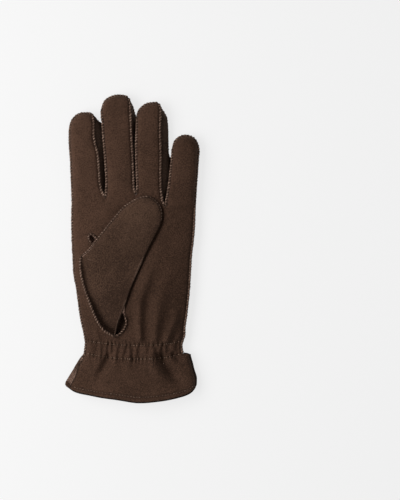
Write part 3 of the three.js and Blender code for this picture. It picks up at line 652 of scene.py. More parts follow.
def nearest_on(line, point):
    """The spot on a line of points that lies nearest to a point"""
    best = None
    for a, b in zip(np.array(line), np.array(line[1:])):
        s = np.clip(np.dot(point - a, b - a) / np.dot(b - a, b - a), 0, 1)
        spot = a + s * (b - a)
        if best is None or np.linalg.norm(point - spot) < np.linalg.norm(point - best):
            best = spot
    return best


def inside_of(closed, x, y):
    """Which of the points (x, y) a closed outline goes round"""
    inside = np.zeros(np.shape(x), bool)
    for (x1, y1), (x2, y2) in zip(closed, closed[1:]):
        crosses = (y1 > y) != (y2 > y)
        inside ^= crosses & (x < x1 + (y - y1) * (x2 - x1) / (y2 - y1 + (y1 == y2)))
    return inside


def heights_over(sheet):
    """The height of a sheet's face at points (x, y), seen from above"""
    corners = [list(dict.fromkeys(face)) for face in sheet.faces.tolist()]
    tree = BVHTree.FromPolygons(sheet.points.tolist(), corners)

    def height(x, y):
        x, y = np.broadcast_arrays(x, y)
        hits = [tree.ray_cast((*spot, ABOVE), (0, 0, -1))[0] for spot in zip(x.ravel(), y.ravel())]
        return np.array([hit.z if hit else 0 for hit in hits]).reshape(x.shape)

    return height


def spline(points, at):
    """A round curve through the points, the first and last of which only steer it"""
    p = np.array(points, float)
    k = np.clip(np.floor(at).astype(int), 0, len(p) - 4)
    s = (at - k)[:, None]
    a, b, c, d = p[k], p[k + 1], p[k + 2], p[k + 3]
    return 0.5 * (2 * b + (c - a) * s + (2 * a - 5 * b + 4 * c - d) * s**2 + (3 * b - a - 3 * c + d) * s**3)


def thumb_lines(at):
    """The thumb's seam, its folded edge and the far edge of its opening, at rows counted from the root"""
    seam = np.stack([THUMB["x_seam"], THUMB["y_seam"]], -1)
    fold = np.stack([THUMB["x_fold"], THUMB["y_fold"]], -1)
    hole = np.stack([THUMB["x_hole"], THUMB["y_hole"]], -1)[:SEWN_ROWS]
    seam_line = spline([hole[0], THUMB_ROOT, *seam, THUMB_TIP, fold[-1]], at)
    fold_line = spline([THUMB_ROOT, THUMB_ROOT, *fold, THUMB_TIP, seam[-1]], at)
    hole_line = spline([seam[0], THUMB_ROOT, *hole, hole[-1]], np.minimum(at, SEWN_ROWS))
    return seam_line, fold_line, hole_line


def change(name, at):
    """How far the thumb has changed over at its rows, from 0 to 1"""
    start, over = CHANGES[name]
    return ramp((at - start) / over)


def thumb_grids(height):
    """The thumb's upper layer from the seam to the fold, and its lower layer back under it"""
    rows = len(THUMB["height"])
    even = np.linspace(0, 1, THUMB_ROWS + 1)
    at = (rows + 1) * (0.5 - 0.5 * np.cos(np.pi * even)) ** THUMB_CROWDING["rows"]
    at = np.unique(np.concatenate([at, [SEWN_ROWS]]))
    seam, fold, hole = thumb_lines(at)
    thick, lift = (
        curve_through(np.arange(rows + 2), np.array([at_root, *THUMB[name], at_tip]), at)
        for name, (at_root, at_tip) in THUMB_ENDS.items()
    )
    sewn = change("sewn", at)
    seam_z = height(*seam.T) + mix(THUMB_LIFT + lift, LIP, sewn)
    fold_z = height(*fold.T) + THUMB_LIFT + FOLD_SHARE * thick
    middle = (seam + fold) / 2
    puff = mix(ROOT_PUFF, THUMB_PUFF, change("full", at))
    crown = height(*middle.T) + THUMB_LIFT + thick * puff
    u = (crowded(THUMB_COLUMNS, THUMB_CROWDING["upper"])[None, :] + 1) / 2
    plan = mix(seam[:, None], fold[:, None], u[..., None])
    flat = mix(quarter(2 * u - 1, FOLD_POWER), 1 - (2 * u - 1) ** 2, FOLD_SOFT)
    full = np.where(u < 0.5, ease(quarter(2 * u - 1)), flat)
    z = mix(mix(seam_z[:, None], fold_z[:, None], u), crown[:, None], full)
    away = np.linalg.norm(plan - seam[:, None], axis=-1)
    root = change("root", at)[:, None]
    plateau = np.where(u < 0.5, crown[:, None], mix(fold_z[:, None], crown[:, None], flat))
    past_hole = ramp((plan[..., 0] - hole[:, None, 0] - RESTING["past"]) / RESTING["over"])
    lifted = mix(RESTING["sunk"], THUMB_LIFT + RESTING["above"], past_hole)
    plateau = either(plateau, height(plan[..., 0], plan[..., 1]) + lifted, RESTING["round"])
    beside = np.maximum(0, away - VALLEY_FROM) / mix(*VALLEY_WIDTH, root)
    valley = mix(*VALLEY_DEPTH, root) * np.exp(-(beside**VALLEY_POWER))
    sunk = mix(seam_z[:, None], plateau - valley * (1 - past_hole), ramp(away / VALLEY_EDGE))
    z = mix(z, sunk, sewn[:, None])
    z = z + uneven("thumb", plan[..., 0], plan[..., 1]) * full
    upper = np.concatenate([plan, z[..., None]], -1)

    is_sewn = at <= SEWN_ROWS
    end = np.where(is_sewn[:, None], hole, seam)
    w = np.linspace(0, 1, THUMB_COLUMNS // 2 + 1)[None, :] ** THUMB_CROWDING["lower"]
    plan = mix(fold[:, None], end[:, None], w[..., None])
    ground = height(plan[..., 0], plan[..., 1]) + THUMB_LIFT
    falling = is_sewn[:, None] | (w < 0.5)
    away = np.linalg.norm(plan - fold[:, None], axis=-1)
    turned = quarter(clamp(1 - away / FOLD_ROUND))
    flat = np.where(falling, turned, quarter(clamp(2 * w - 1), FLAT_ROUND))
    z = mix(np.where(falling, fold_z[:, None], seam_z[:, None]), ground, flat)
    z = z - POCKET * change("pocket", at)[:, None] * np.sin(np.pi * clamp(w * 0.94)) ** 0.6
    lower = np.concatenate([plan, z[..., None]], -1)
    lower[~is_sewn, -1] = upper[~is_sewn, 0]
    return upper, lower, at


def thumb_opening():
    """The outline of the opening in the palm under the thumb's root"""
    at = np.linspace(0, SEWN_ROWS, 40)
    seam, fold, hole = thumb_lines(at)
    along = fold - seam
    reach = np.maximum(np.linalg.norm(along, axis=1, keepdims=True), 1e-6)
    near = seam + along / reach * np.minimum(THUMB_LAP, reach / 2)
    far = hole - np.array([THUMB_LAP, 0]) * clamp(at / 2)[:, None]
    return [*near, *far[::-1][1:-1]]


def quirk_grid(height):
    """The small gusset beside the thumb: a cup let into the palm"""
    centre = QUIRK.mean(0)
    closed = np.concatenate([QUIRK, QUIRK[:1]])
    sides = [mix(a, b, np.linspace(0, 1, 7)[:-1, None]) for a, b in zip(closed, closed[1:])]
    outline = np.concatenate([*sides, closed[:1]])
    plan = centre + (outline - centre)[None] * QUIRK_CUP["plan"][:, None, None]
    z = height(plan[..., 0], plan[..., 1]) - QUIRK_DEPTH * QUIRK_CUP["depth"][:, None]
    return np.concatenate([plan, z[..., None]], -1)


def put(name, data):
    """A new object in the scene"""
    made = bpy.data.objects.new(name, data)
    bpy.context.scene.collection.objects.link(made)
    return made


def add_mesh(name, points, faces, materials, slots=None, marks=None):
    """A mesh object from points in millimetres"""
    mesh = bpy.data.meshes.new(name)
    mesh.from_pydata((points * MM).tolist(), [], faces)
    for material in materials:
        mesh.materials.append(material)
    if slots is not None:
        mesh.polygons.foreach_set("material_index", np.array(slots, np.int32))
    mesh.polygons.foreach_set("use_smooth", np.ones(len(faces), bool))
    for key, values in (marks or {}).items():
        attribute = mesh.attributes.new(key, "FLOAT", "POINT")
        attribute.data.foreach_set("value", np.array(values, np.float32))
    mesh.validate()
    mesh.update()
    piece = put(name, mesh)
    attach(piece, "root")
    return piece


def add_shell(name, sheet, materials, walls=SUEDE, near=None):
    """A sheet given its thickness, with rounded edges; where it is turned in, its face shows inside too"""
    points, faces, normals = sheet.points, sheet.faces, sheet.normals
    count = len(points)
    walls = walls * np.ones(count)
    inner = points - normals * walls[:, None]
    sides = np.concatenate([faces[:, [k, (k + 1) % 4]] for k in range(4)])
    sides = sides[sides[:, 0] != sides[:, 1]]
    key, turned = sides[:, 0] * count + sides[:, 1], sides[:, 1] * count + sides[:, 0]
    rim = sides[~np.isin(key, turned)]
    pull = np.zeros_like(points)
    along = points[rim[:, 1]] - points[rim[:, 0]]
    for k in range(2):
        np.add.at(pull, rim[:, k], np.cross(along, normals[rim[:, k]]))
    pull /= np.maximum(np.linalg.norm(pull, axis=1, keepdims=True), 1e-9)
    lips = np.unique(rim)
    lip_of = np.full(count, -1)
    lip_of[lips] = 2 * count + np.arange(len(lips))
    lip = (points[lips] + inner[lips]) / 2 + pull[lips] * EDGE_BULGE * walls[lips, None]
    a, b = rim.T
    edges = np.concatenate([
        np.stack([b, a, lip_of[a], lip_of[b]], -1),
        np.stack([lip_of[b], lip_of[a], a + count, b + count], -1),
    ])
    every = [list(dict.fromkeys(f)) for f in np.concatenate([faces, faces[:, ::-1] + count, edges]).tolist()]
    turned_in = walls[faces].mean(1) > (SUEDE + HEM) / 2
    slots = np.concatenate([np.zeros(len(faces)), np.where(turned_in, 0, 1), 2 * np.ones(len(edges))])
    total = np.concatenate([points, inner, lip])
    # The seam mark tells the suede where to paint shade in the creases beside the seams
    marks = {} if near is None else {"seam": nearness(total, near)}
    return add_mesh(name, total, every, materials, slots, marks)


def finder(spots):
    """Finds the nearest of many spots"""
    tree = KDTree(len(spots))
    for k, spot in enumerate(spots):
        tree.insert(spot, k)
    tree.balance()
    return tree.find


def nearness(points, paths, reach=SEAM_REACH):
    """1 on a seam, falling to 0 at the reach"""
    find = finder(np.concatenate(paths))
    return clamp(1 - np.array([find(point)[2] for point in points]) / reach)


def sink_beside(sheet, paths):
    """The gutter that runs beside an overcast seam"""
    away = SEAM_REACH * (1 - nearness(sheet.points, paths))
    gutter = hump((away - GUTTER["away"]) / GUTTER["half_width"])
    sheet.points = sheet.points - sheet.normals * (GUTTER["depth"] * gutter)[:, None]


def lengths(path):
    """How far along a path each of its points lies"""
    return np.concatenate([[0], np.cumsum(np.linalg.norm(np.diff(path, axis=0), axis=1))])


def resample(path, step, *others):
    """Points at even steps along a path, and what goes with them"""
    length = lengths(path)
    at = np.linspace(0, length[-1], max(2, round(length[-1] / step) + 1))
    return [np.stack([np.interp(at, length, v) for v in values.T], -1) for values in (path, *others)]


def relaxed(values, rounds):
    """Rounds off a path's corners"""
    for _ in range(rounds):
        values = np.concatenate([values[:1], (values[:-2] + 2 * values[1:-1] + values[2:]) / 4, values[-1:]])
    return values


def unit(v):
    return v / np.maximum(np.linalg.norm(v, axis=-1, keepdims=True), 1e-9)


def sums_at(path, *sheets):
    """Which way a seam stands up: between the faces of the sheets that meet in it"""
    total = np.zeros_like(path)
    for sheet in sheets:
        find = finder(sheet.points)
        total += np.array([sheet.normals[find(point)[1]] for point in path])
    return unit(total)


def seam_frame(path, out):
    """The ways along a seam, out of it and across it"""
    along = unit(np.gradient(path, axis=0))
    out = unit(out - along * np.sum(out * along, axis=1, keepdims=True))
    return along, out, np.cross(along, out)


def sweep(sections):
    """A closed tube through its sections"""
    rows, columns = sections.shape[:2]
    k = np.arange(rows * columns).reshape(rows, columns)
    turned = np.roll(k, -1, axis=1)
    quads = np.stack([k[:-1], turned[:-1], turned[1:], k[1:]], -1).reshape(-1, 4)
    return sections.reshape(-1, 3), [*quads.tolist(), k[0, ::-1].tolist(), k[-1].tolist()]


class Joined:
    """Many small forms gathered into one mesh"""

    def __init__(self):
        self.points, self.faces, self.count = [], [], 0

    def add(self, points, faces):
        self.points.append(points)
        self.faces += [[v + self.count for v in face] for face in faces]
        self.count += len(points)

    def make(self, name, materials):
        return add_mesh(name, np.concatenate(self.points), self.faces, materials)


# A welt's outline: both cut edges side by side, with the seam's groove between them
WELT_ACROSS = np.array([-0.9, -1.0, -0.75, -0.35, 0.0, 0.35, 0.75, 1.0, 0.9, 0.0])
WELT_HEIGHT = np.array([-0.35, 0.45, 0.95, 1.0, 0.6, 1.0, 0.95, 0.45, -0.35, -0.55])


def add_welt(joined, path, out, seed, size=1.0):
    """The two cut edges that stand up along a seam, pinched at each stitch"""
    path, out = resample(path, STITCH["pitch"] / STITCH["points"], out)
    along, out, across = seam_frame(path, out)
    length = lengths(path)[:, None]
    pinch = np.abs(np.cos(np.pi * (length / STITCH["pitch"] - WELT["slant"] * WELT_ACROSS))) ** 3
    random = np.random.default_rng(seed)
    rough = random.uniform(-1, 1, (len(path), len(WELT_ACROSS))) * WELT["rough"]
    uneven = size * (1 + WELT["uneven"] * ripple(length, 0, 7, seed))
    x = uneven * WELT["half_width"] * (1 - WELT["pinch_across"] * pinch) * (WELT_ACROSS + rough)
    z = uneven * WELT["height"] * (1 - WELT["pinch_down"] * pinch) * (WELT_HEIGHT + rough[:, ::-1])
    joined.add(*sweep(path[:, None] + x[..., None] * across[:, None] + z[..., None] * out[:, None]))


def tube(line, radius, sides=6):
    """A thin round thread along a short line of points"""
    along = unit(np.gradient(line, axis=0))
    side = unit(np.cross(along, unit(np.cross(along[0], ASLANT))))
    other = np.cross(along, side)
    angle = np.arange(sides) * 2 * np.pi / sides
    ring = np.cos(angle)[:, None] * side[:, None] + np.sin(angle)[:, None] * other[:, None]
    return sweep(line[:, None] + ring * radius)


def add_overcast(joined, path, out, seed, size=1.0):
    """The slanting stitches that bind a seam's edges together"""
    count = STITCH["points"]
    path, out = resample(path, STITCH["pitch"] / count, out)
    along, out, across = seam_frame(path, out)
    random = np.random.default_rng(seed)
    bow = np.linspace(-STITCH["bow"], STITCH["bow"], 8)
    for k in range(count, len(path) - count // 2, count):
        slant, lean, thick = random.uniform(-1, 1, 3)
        over = STITCH["over"] * WELT["height"] + STITCH["heights"] * lean
        x = size * STITCH["across"] * WELT["half_width"] * np.sin(bow)
        z = size * (STITCH["above"] + over * np.cos(bow))
        s = size * (STITCH["slant"] + STITCH["slants"] * slant) * np.sin(bow)
        spot = path[k] + STITCH["places"] * slant * along[k]
        line = spot + np.outer(x, across[k]) + np.outer(z, out[k]) + np.outer(s, along[k])
        joined.add(*tube(line, size * STITCH["radius"] * (1 + STITCH["radii"] * thick)))


def add_running(joined, path, normals, seed, pitch, length, radius, sink=0.05):
    """A row of short stitches on the face of a sheet"""
    path, normals = resample(path, RUN["step"], normals)
    random = np.random.default_rng(seed)
    step = round(pitch / RUN["step"])
    for k in range(step, len(path) - step, step):
        longer = 1 + RUN["lengths"] * random.uniform(-1, 1)
        half = max(1, round(length / (2 * RUN["step"]) * longer))
        span = np.unique(np.linspace(k - half, k + half, 5).round().astype(int))
        arch = np.sin(np.linspace(0, np.pi, len(span)))
        line = path[span] + normals[span] * (arch * (radius * RUN["arch"]) - radius - sink)[:, None]
        joined.add(*tube(line, radius * (1 + RUN["radii"] * random.uniform(-1, 1)), 5))


# Materials
COLOR, FLOAT = "NodeSocketColor", "NodeSocketFloat"
TONES = {"Deep": (COLOR, None), "Light": (COLOR, None)}
FINISH = {"Color": (COLOR, None), "Roughness": (FLOAT, None), "Height": (FLOAT, None)}


def feed(tree, inputs, values):
    """Gives a node's inputs their values, or links them to other nodes' outputs"""
    for key, value in values.items():
        if isinstance(value, bpy.types.NodeSocket):
            tree.links.new(value, inputs[key])
        else:
            inputs[key].default_value = value


def node(tree, kind, inputs, **settings):
    made = tree.nodes.new(kind)
    for key, value in settings.items():
        setattr(made, key, value)
    feed(tree, made.inputs, inputs)
    return made


def group(name, inputs, outputs):
    """An empty node group with named sockets"""
    tree = bpy.data.node_groups.new(name, "ShaderNodeTree")
    for way, sockets in (("INPUT", inputs), ("OUTPUT", outputs)):
        for socket, (kind, value) in sockets.items():
            made = tree.interface.new_socket(name=socket, in_out=way, socket_type=kind)
            if value is not None:
                made.default_value = value
    return tree, tree.nodes.new("NodeGroupInput").outputs, tree.nodes.new("NodeGroupOutput").inputs


def noise(tree, where, scale, detail=3, rough=0.6, stretch=(1, 1, 1)):
    moved = node(tree, "ShaderNodeMapping", {"Vector": where, "Scale": stretch}).outputs["Vector"]
    texture = node(tree, "ShaderNodeTexNoise", {
        "Vector": moved, "Scale": scale, "Detail": detail, "Roughness": rough,
    })
    return texture.outputs["Fac"]


def ranged(tree, value, low, high, to_low=0.0, to_high=1.0):
    return node(tree, "ShaderNodeMapRange", {
        "Value": value, "From Min": low, "From Max": high, "To Min": to_low, "To Max": to_high,
    }).outputs["Result"]


def spread(tree, texture, to_low, to_high):
    """Most of a noise texture lies between 0.3 and 0.7, which this widens to another range"""
    return ranged(tree, texture, 0.3, 0.7, to_low, to_high)


def blended(tree, share, deep, light):
    return node(tree, "ShaderNodeMix", {0: share, 6: deep, 7: light}, data_type="RGBA").outputs[2]


def summed(tree, *values):
    total = values[0]
    for value in values[1:]:
        total = node(tree, "ShaderNodeMath", {0: total, 1: value}, operation="ADD").outputs[0]
    return total


def scaled(tree, value, *factors):
    for factor in factors:
        value = node(tree, "ShaderNodeMath", {0: value, 1: factor}, operation="MULTIPLY").outputs[0]
    return value


def object_place(tree):
    return node(tree, "ShaderNodeTexCoord", {}).outputs["Object"]


def suede_nap():
    """The short fibres of suede: fine grain, patches and clouds of tone, with painted light and painted
    shade laid over them
    """
    strengths = {"Grain": (FLOAT, 1.0), "Clouds": (FLOAT, 1.0), "Handled": (FLOAT, 0.0)}
    tree, given, made = group("suede_nap", TONES | strengths, FINISH)
    where = object_place(tree)
    fibre = noise(tree, where, 2200, 2, 0.7, (1, 0.6, 1))
    nap = noise(tree, where, 1400, 3, 0.7, (1, 0.8, 1))
    patch = noise(tree, where, 240, 3, 0.6, (1, 0.8, 1))
    cloud = noise(tree, where, 45, 2, 0.5)
    grain = scaled(tree, summed(
        tree, spread(tree, fibre, -0.35, 0.35), spread(tree, nap, -0.8, 0.8),
    ), given["Grain"])
    tone = scaled(tree, summed(
        tree, spread(tree, patch, -0.08, 0.08), spread(tree, cloud, -0.16, 0.16),
    ), given["Clouds"])
    x, y, _ = node(tree, "ShaderNodeSeparateXYZ", {0: where}).outputs
    # Painted light: the suede is drawn lighter on the left, where the key light falls, and darker on the
    # right; it also grows lighter towards the fingers and a little lighter along the cuff's bottom
    painted_light_falloff = summed(
        tree, ranged(tree, x, -0.05, 0.05, 0.14, -0.14),
        ranged(tree, y, -0.1, 0.1, -0.06, 0.06), ranged(tree, y, -0.125, -0.1, 0.03, 0),
    )
    # Painted shade: the suede is drawn darker from the cuff up to the middle of the palm, a little more so
    # to the right, and only a quarter as much on the cuff
    below_elastic = ranged(tree, y, -0.088, -0.062, 0.25, 1.0)
    above_palm = ranged(tree, y, 0.02, -0.04)
    to_right = ranged(tree, x, -0.05, 0.04, 1.1, 1.2)
    painted_shade = scaled(tree, below_elastic, above_palm, to_right, given["Handled"])
    share = summed(tree, 0.5, grain, tone, painted_light_falloff, scaled(tree, painted_shade, -1))
    feed(tree, made, {
        "Color": blended(tree, share, given["Deep"], given["Light"]),
        "Roughness": spread(tree, nap, 0.86, 1.0),
        "Height": summed(tree, scaled(tree, fibre, 0.45), scaled(tree, nap, 0.8), scaled(tree, patch, 0.5)),
    })
    return tree


def seam_crease_shade():
    """Painted shade: suede is drawn darker in the crease beside a seam, in patches"""
    inputs = {"Color": (COLOR, None), "Crease_Shade": (COLOR, None), "Amount": (FLOAT, 0.5)}
    tree, given, made = group("seam_crease_shade", inputs, {"Color": (COLOR, None)})
    near = node(tree, "ShaderNodeAttribute", {}, attribute_name="seam").outputs["Fac"]
    patchy = spread(tree, noise(tree, object_place(tree), 500, 2), 0.5, 1.2)
    amount = scaled(tree, ranged(tree, near, 0.3, 0.75), patchy, given["Amount"])
    feed(tree, made, {"Color": blended(tree, amount, given["Color"], given["Crease_Shade"])})
    return tree


def cut_edge():
    """Cut edges of suede: frayed, and lighter than its face"""
    tree, given, made = group("cut_edge", TONES, FINISH)
    where = object_place(tree)
    fray = noise(tree, where, 2200, 3, 0.75)
    run = noise(tree, where, 450, 2, 0.6)
    share = summed(tree, ranged(tree, fray, 0.32, 0.68, 0, 0.6), spread(tree, run, -0.1, 0.45))
    feed(tree, made, {
        "Color": blended(tree, share, given["Deep"], given["Light"]),
        "Roughness": spread(tree, fray, 0.88, 1.0),
        "Height": summed(tree, fray, scaled(tree, run, 0.6)),
    })
    return tree


def thread_fibre():
    """Spun thread with fuzz and slightly uneven dye"""
    tree, given, made = group("thread_fibre", TONES, FINISH)
    where = object_place(tree)
    ply = noise(tree, where, 5200, 2, 0.6, (1, 1, 0.5))
    dye = noise(tree, where, 380, 2, 0.6)
    share = summed(tree, spread(tree, ply, 0, 0.5), ranged(tree, dye, 0.35, 0.65, -0.3, 0.6))
    feed(tree, made, {
        "Color": blended(tree, share, given["Deep"], given["Light"]),
        "Roughness": spread(tree, ply, 0.6, 0.85),
        "Height": ply,
    })
    return tree


def shade(red, green, blue):
    """A colour given as it looks on screen, from 0 to 255"""
    values = np.array([red, green, blue]) / 255
    linear = np.where(values <= 0.04045, values / 12.92, ((values + 0.055) / 1.055) ** 2.4)
    return (*linear.tolist(), 1.0)


def use(tree, effect, values):
    made = tree.nodes.new("ShaderNodeGroup")
    made.node_tree = effect
    feed(tree, made.inputs, values)
    return made.outputs


def blank_material(name):
    material = bpy.data.materials.new(name)
    material.use_nodes = True
    return material, material.node_tree, material.node_tree.nodes["Principled BSDF"].inputs


def finish(name, effect, deep, light, bump, napped=False, **strengths):
    """A material dyed between two colours; napped suede has a sheen, and painted shade darkens the creases
    at its seams
    """
    material, tree, shader = blank_material(name)
    look = use(tree, effect, {"Deep": shade(*deep), "Light": shade(*light), **strengths})
    color = look["Color"]
    if napped:
        color = use(tree, SEAM_CREASE_SHADE, {"Color": color, "Crease_Shade": CREASE_SHADE, "Amount": 0.32})["Color"]
    relief = node(tree, "ShaderNodeBump", {"Strength": 0.6, "Distance": bump * MM, "Height": look["Height"]})
    feed(tree, shader, {
        "Base Color": color, "Roughness": look["Roughness"], "Normal": relief.outputs["Normal"],
        "Specular IOR Level": 0.12, "Sheen Weight": 0.12 if napped else 0.0, "Sheen Roughness": 0.45,
        "Sheen Tint": NAP_TINT if napped else (1, 1, 1, 1),
    })
    return material


def suede(name, deep, light, painted_shade=0.0):
    """Suede's outer face; its last value says how much painted shade darkens it over the wrist and the
    thumb's root
    """
    return finish(name, SUEDE_NAP, deep, light, 0.12, True, Handled=painted_shade)


SUEDE_NAP, SEAM_CREASE_SHADE, CUT_EDGE, THREAD = suede_nap(), seam_crease_shade(), cut_edge(), thread_fibre()
NAP_TINT = shade(176, 150, 128)
# The colour of the painted shade in the creases beside the seams
CREASE_SHADE = shade(38, 27, 21)
# Painted shade: the last value of palm_suede and thumb_suede darkens the wrist and the thumb's root
palm_suede = suede("palm_suede", (48, 33, 24), (88, 64, 51), 0.15)
back_suede = suede("back_suede", (46, 32, 24), (84, 62, 48))
thumb_suede = suede("thumb_suede", (49, 34, 26), (92, 69, 55), 0.34)
# Drawn a little darker than the palm's suede, as painted shade between the fingers
fourchette_suede = suede("fourchette_suede", (42, 31, 25), (80, 62, 51))
# Far darker than the rest of the suede: painted shade in the gusset's cup
quirk_suede = suede("quirk_suede", (22, 15, 12), (44, 32, 25))
flesh = finish("flesh_side", SUEDE_NAP, (72, 52, 44), (152, 123, 108), 0.25, Grain=1.9, Clouds=1.2)
# The cut edges' colours mix their own lighter raw tone with painted shade, set darker for the shadowed
# creases of the welts
cut_suede = finish("cut_edges", CUT_EDGE, (42, 30, 24), (102, 80, 67), 0.2)
# A near-black edge colour, as painted shadow under the cuff's edges
edge_shadow_suede = finish("painted_edge_shadows", CUT_EDGE, (20, 14, 11), (50, 37, 30), 0.2)
thread = finish("sewing_thread", THREAD, (110, 86, 73), (184, 153, 135), 0.05)
hem_thread = finish("hem_thread", THREAD, (66, 51, 42), (140, 117, 101), 0.05)
brown_thread = finish("brown_thread", THREAD, (92, 72, 59), (156, 131, 114), 0.05)

# The panels
palm_body, palm_fingers, y_rows = hand_grids(True)
back_body, back_fingers, _ = hand_grids(False)
last = len(FINGERS) - 1
palm = Sheet([palm_body, *palm_fingers])
back = Sheet([back_body, *back_fingers], flip=True)
forks = [Sheet([fourchette_grid(i, palm_fingers, back_fingers)], flip=True) for i in range(last)]
palm_height = heights_over(palm)


def row_at(y):
    """Which row of the hand lies nearest to y"""
    return np.argmin(np.abs(y_rows - y))


# The seams between the panels, as lines of points with the way that each stands up
left_from, right_from = row_at(LEFT_SLIT), row_at(RIGHT_SLIT)
little = palm_fingers[last]
side_seams = [
    np.concatenate([palm_body[left_from:, 0], palm_fingers[0][1:, 0], palm_fingers[0][-1, 1:]]),
    *[palm_fingers[i][-1] for i in range(1, last)],
    np.concatenate([little[-1, :-1], little[::-1, -1], palm_body[right_from:-1, -1][::-1]]),
]
seams = {
    "side": [(path, unit(sums_at(path, palm, back) + SEAM_UP * UP)) for path in side_seams],
    "palm": [],
    "back": [],
}
for i, fork in enumerate(forks):
    path = gap_edge(palm_fingers, i)
    seams["palm"].append((path, unit(sums_at(path, palm, fork) + SEAM_UP * UP)))
    path = gap_edge(back_fingers, i)
    seams["back"].append((path, sums_at(path, back, fork)))

# The thumb and its seam, which is let into the palm up to the corner and runs free round the tip
upper, lower, thumb_at = thumb_grids(palm_height)
thumb = Sheet([upper, lower])
round_tip = upper[thumb_at > THUMB_SEAM_END, -1][::-1][1:]
thumb_seam = np.concatenate([upper[:, 0], round_tip])
seam_at = np.concatenate([thumb_at, np.full(len(round_tip), thumb_at[-1])])
outwards = unit(np.cross(UP, unit(np.gradient(thumb_seam, axis=0))))
let_in = clamp((SEWN_ROWS + 1 - seam_at) / 2)[:, None]
thumb_out = unit(mix(*THUMB_SEAM_OUT, let_in) * outwards + mix(*THUMB_SEAM_UP, let_in) * UP)
hole_plan = thumb_lines(np.linspace(0, HOLE_ROWS, 40))[2]
hole_seam = np.concatenate([hole_plan, palm_height(*hole_plan.T)[:, None] + HOLE_RISE], -1)
let_in_to = np.argmax(seam_at > SEWN_ROWS + 0.2)
seams["thumb"] = [
    (thumb_seam[:let_in_to], thumb_out[:let_in_to]),
    (thumb_seam[let_in_to - 1:], thumb_out[let_in_to - 1:]),
    (hole_seam, np.tile(unit(UP + [-0.3, 0, 0]), (len(hole_seam), 1))),
]

# The gusset and its seam, which leaves out the side under the thumb
quirk = Sheet([quirk_grid(palm_height)], flip=True)
quirk_line = np.roll(QUIRK, -2, axis=0)
quirk_sides = [mix(a, b, np.linspace(0, 1, 8)[:, None]) for a, b in zip(quirk_line, quirk_line[1:])]
quirk_rim = resample(np.concatenate(quirk_sides), 0.6)[0]
quirk_path = np.concatenate([quirk_rim, palm_height(*quirk_rim.T)[:, None] + QUIRK_RISE], -1)
seams["quirk"] = [(quirk_path, np.tile(UP, (len(quirk_path), 1)))]

# The palm swells up to the thumb's seam, and is cut open under the thumb and at the gusset
palm_x, palm_y = palm.points[:, 0], palm.points[:, 1]
lip_line = upper[thumb_at <= SEWN_ROWS, 0][::3, :2]
swell = hump(distance_to(lip_line, palm_x, palm_y) / LIP_WIDTH)
folded = upper[(thumb_at > GROOVE["from"]) & (thumb_at < GROOVE["to"]), -1][::3, :2]
groove = hump(distance_to(folded, palm_x - GROOVE["inset"], palm_y) / GROOVE["half_width"])
palm.points[:, 2] += (LIP - LIP_UNDER) * swell - GROOVE["depth"] * groove
palm.cut(thumb_opening())
palm.cut(QUIRK)

every_seam = [path for lines in seams.values() for path, _ in lines]
every_seam += [palm_body[:left_from, 0], palm_body[:right_from, -1], palm_body[row_at(HEM_ROW), 2:-2]]
sink_beside(palm, [path for part in ("side", "palm") for path, _ in seams[part]])


def wall_at(sheet):
    """The hem is turned in, so the cuff's edge is thicker"""
    near_hem = nearness(sheet.points, [palm_body[0], back_body[0]], HEM_REACH)
    return mix(SUEDE, HEM, ramp((near_hem - HEM_BLEND) / HEM_BLEND))


def dress(name, sheet, face, cad_node, walls=THIN_SUEDE):
    """One cut piece of suede, in the place of its solid"""
    piece = add_shell(name, sheet, [face, flesh, cut_suede], walls, every_seam)
    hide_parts(cad_node)


dress("palm_skin", palm, palm_suede, "palm_panel", wall_at(palm))
dress("back_skin", back, back_suede, "back_panel", wall_at(back))
dress("thumb_skin", thumb, thumb_suede, "thumb")
dress("quirk_skin", quirk, quirk_suede, "thumb_quirk")
for i, fork in enumerate(forks):
    pair = f"{FINGERS[i]['name']}_{FINGERS[i + 1]['name']}"
    dress(f"fork_{pair}_skin", fork, fourchette_suede, f"fourchette_{pair}")

# The welts and the stitches that bind them
for k, (part, lines) in enumerate(seams.items()):
    welt, stitches = Joined(), Joined()
    sizes = SEAM_SIZES.get(part, [1.0] * len(lines))
    for n, ((path, out), size) in enumerate(zip(lines, sizes)):
        path, out = relaxed(path, SEAM_ROUNDS), relaxed(out, SEAM_ROUNDS)
        add_welt(welt, path, out, 10 * k + n, size)
        add_overcast(stitches, path, out, 100 + 10 * k + n, size)
    welt.make(f"{part}_seam_edges", [cut_suede])
    stitches.make(f"{part}_seam_stitches", [thread])


def row_on(grid, sign, y):
    """One row of the hand as a line, with the ways out of its face"""
    normals = unit(sign * np.cross(np.gradient(grid, axis=1), np.gradient(grid, axis=0)))
    return grid[row_at(y), 2:-2], normals[row_at(y), 2:-2]


# The rows of stitches that hold the elastic, the loose end of thread below them, and the hem's row
elastic, hem = Joined(), Joined()
for n, row in enumerate(ELASTIC_ROWS):
    add_running(elastic, *row_on(palm_body, 1, row), 60 + n, **ELASTIC_STITCH)
    add_running(elastic, *row_on(back_body, -1, row), 62 + n, **ELASTIC_BACK_STITCH)
add_running(hem, *row_on(palm_body, 1, HEM_ROW), 70, **HEM_STITCH)
add_running(hem, *row_on(back_body, -1, HEM_ROW), 71, **HEM_BACK_STITCH)
knot = np.array([(KNOT_AT[0] + lean, KNOT_AT[1], palm_height(*KNOT_AT) + rise) for lean, rise in KNOT])
elastic.add(*tube(knot, KNOT_RADIUS))
elastic.make("elastic_stitches", [brown_thread])
hem.make("hem_stitches", [hem_thread])
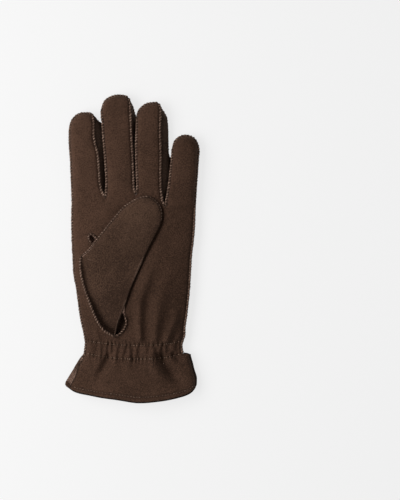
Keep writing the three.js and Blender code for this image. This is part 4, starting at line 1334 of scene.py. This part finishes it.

# Painted shadow: dark beads along the cuff's palm side, at its two slits and along the hem, where shadow
# falls under its edges
edge_shadows = Joined()
edge_shadow_lines = {
    "left": palm_body[:left_from + 2, 0],
    "right": palm_body[:right_from, -1],
    "hem": palm_body[0] + EDGE_SHADOW["hem_by"],
}
for where, line in edge_shadow_lines.items():
    line = resample(line, EDGE_SHADOW["step"])[0] - EDGE_SHADOW["sink"] * UP
    edge_shadows.add(*tube(relaxed(line, 2), EDGE_SHADOW[where], 8))
edge_shadows.make("cuff_edge_shadows", [edge_shadow_suede])

# The stage: a pale floor, soft light mostly from the left, and the camera straight above
FLOOR_GLOW = 0.748  # evens the floor out, as a studio's table lit from below does
FLOOR_HALF, FLOOR_Z = 3.0, -0.0003
pale_floor, floor_tree, floor_shader = blank_material("pale_floor")
feed(floor_tree, floor_shader, {
    "Base Color": (0.2, 0.2, 0.2, 1), "Roughness": 1, "Specular IOR Level": 0,
    "Emission Color": (1, 1, 1, 1), "Emission Strength": FLOOR_GLOW,
})
floor_mesh = bpy.data.meshes.new("floor")
corners = [(x * FLOOR_HALF, y * FLOOR_HALF, FLOOR_Z) for x, y in ((-1, -1), (1, -1), (1, 1), (-1, 1))]
floor_mesh.from_pydata(corners, [], [(0, 1, 2, 3)])
floor_mesh.materials.append(pale_floor)
floor = put("floor", floor_mesh)

world = bpy.data.worlds.new("soft_room")
world.use_nodes = True
world.node_tree.nodes["Background"].inputs["Color"].default_value = (1, 1, 1, 1)
world.node_tree.nodes["Background"].inputs["Strength"].default_value = 0.28
bpy.context.scene.world = world

key = put("soft_key", bpy.data.lights.new("soft_key", "AREA"))
key.data.shape = "RECTANGLE"
key.data.size, key.data.size_y = 0.55, 1.1
key.data.energy = 8.5
key.location = (-0.66, 0.04, 0.66)
key.rotation_euler = (0, np.radians(-45), 0)

CAMERA_AT = (0.0592, -0.0011)  # the middle of the picture, on the floor
CAMERA_HEIGHT = 2.4
PICTURE_HEIGHT = 0.4355  # how much of the floor the picture shows from top to bottom
SENSOR = 36
camera = put("camera", bpy.data.cameras.new("camera"))
camera.data.sensor_width = SENSOR
camera.data.lens = SENSOR * CAMERA_HEIGHT / PICTURE_HEIGHT
camera.location = (*CAMERA_AT, CAMERA_HEIGHT)
bpy.context.scene.camera = camera
bpy.context.scene.view_settings.view_transform = "Standard"
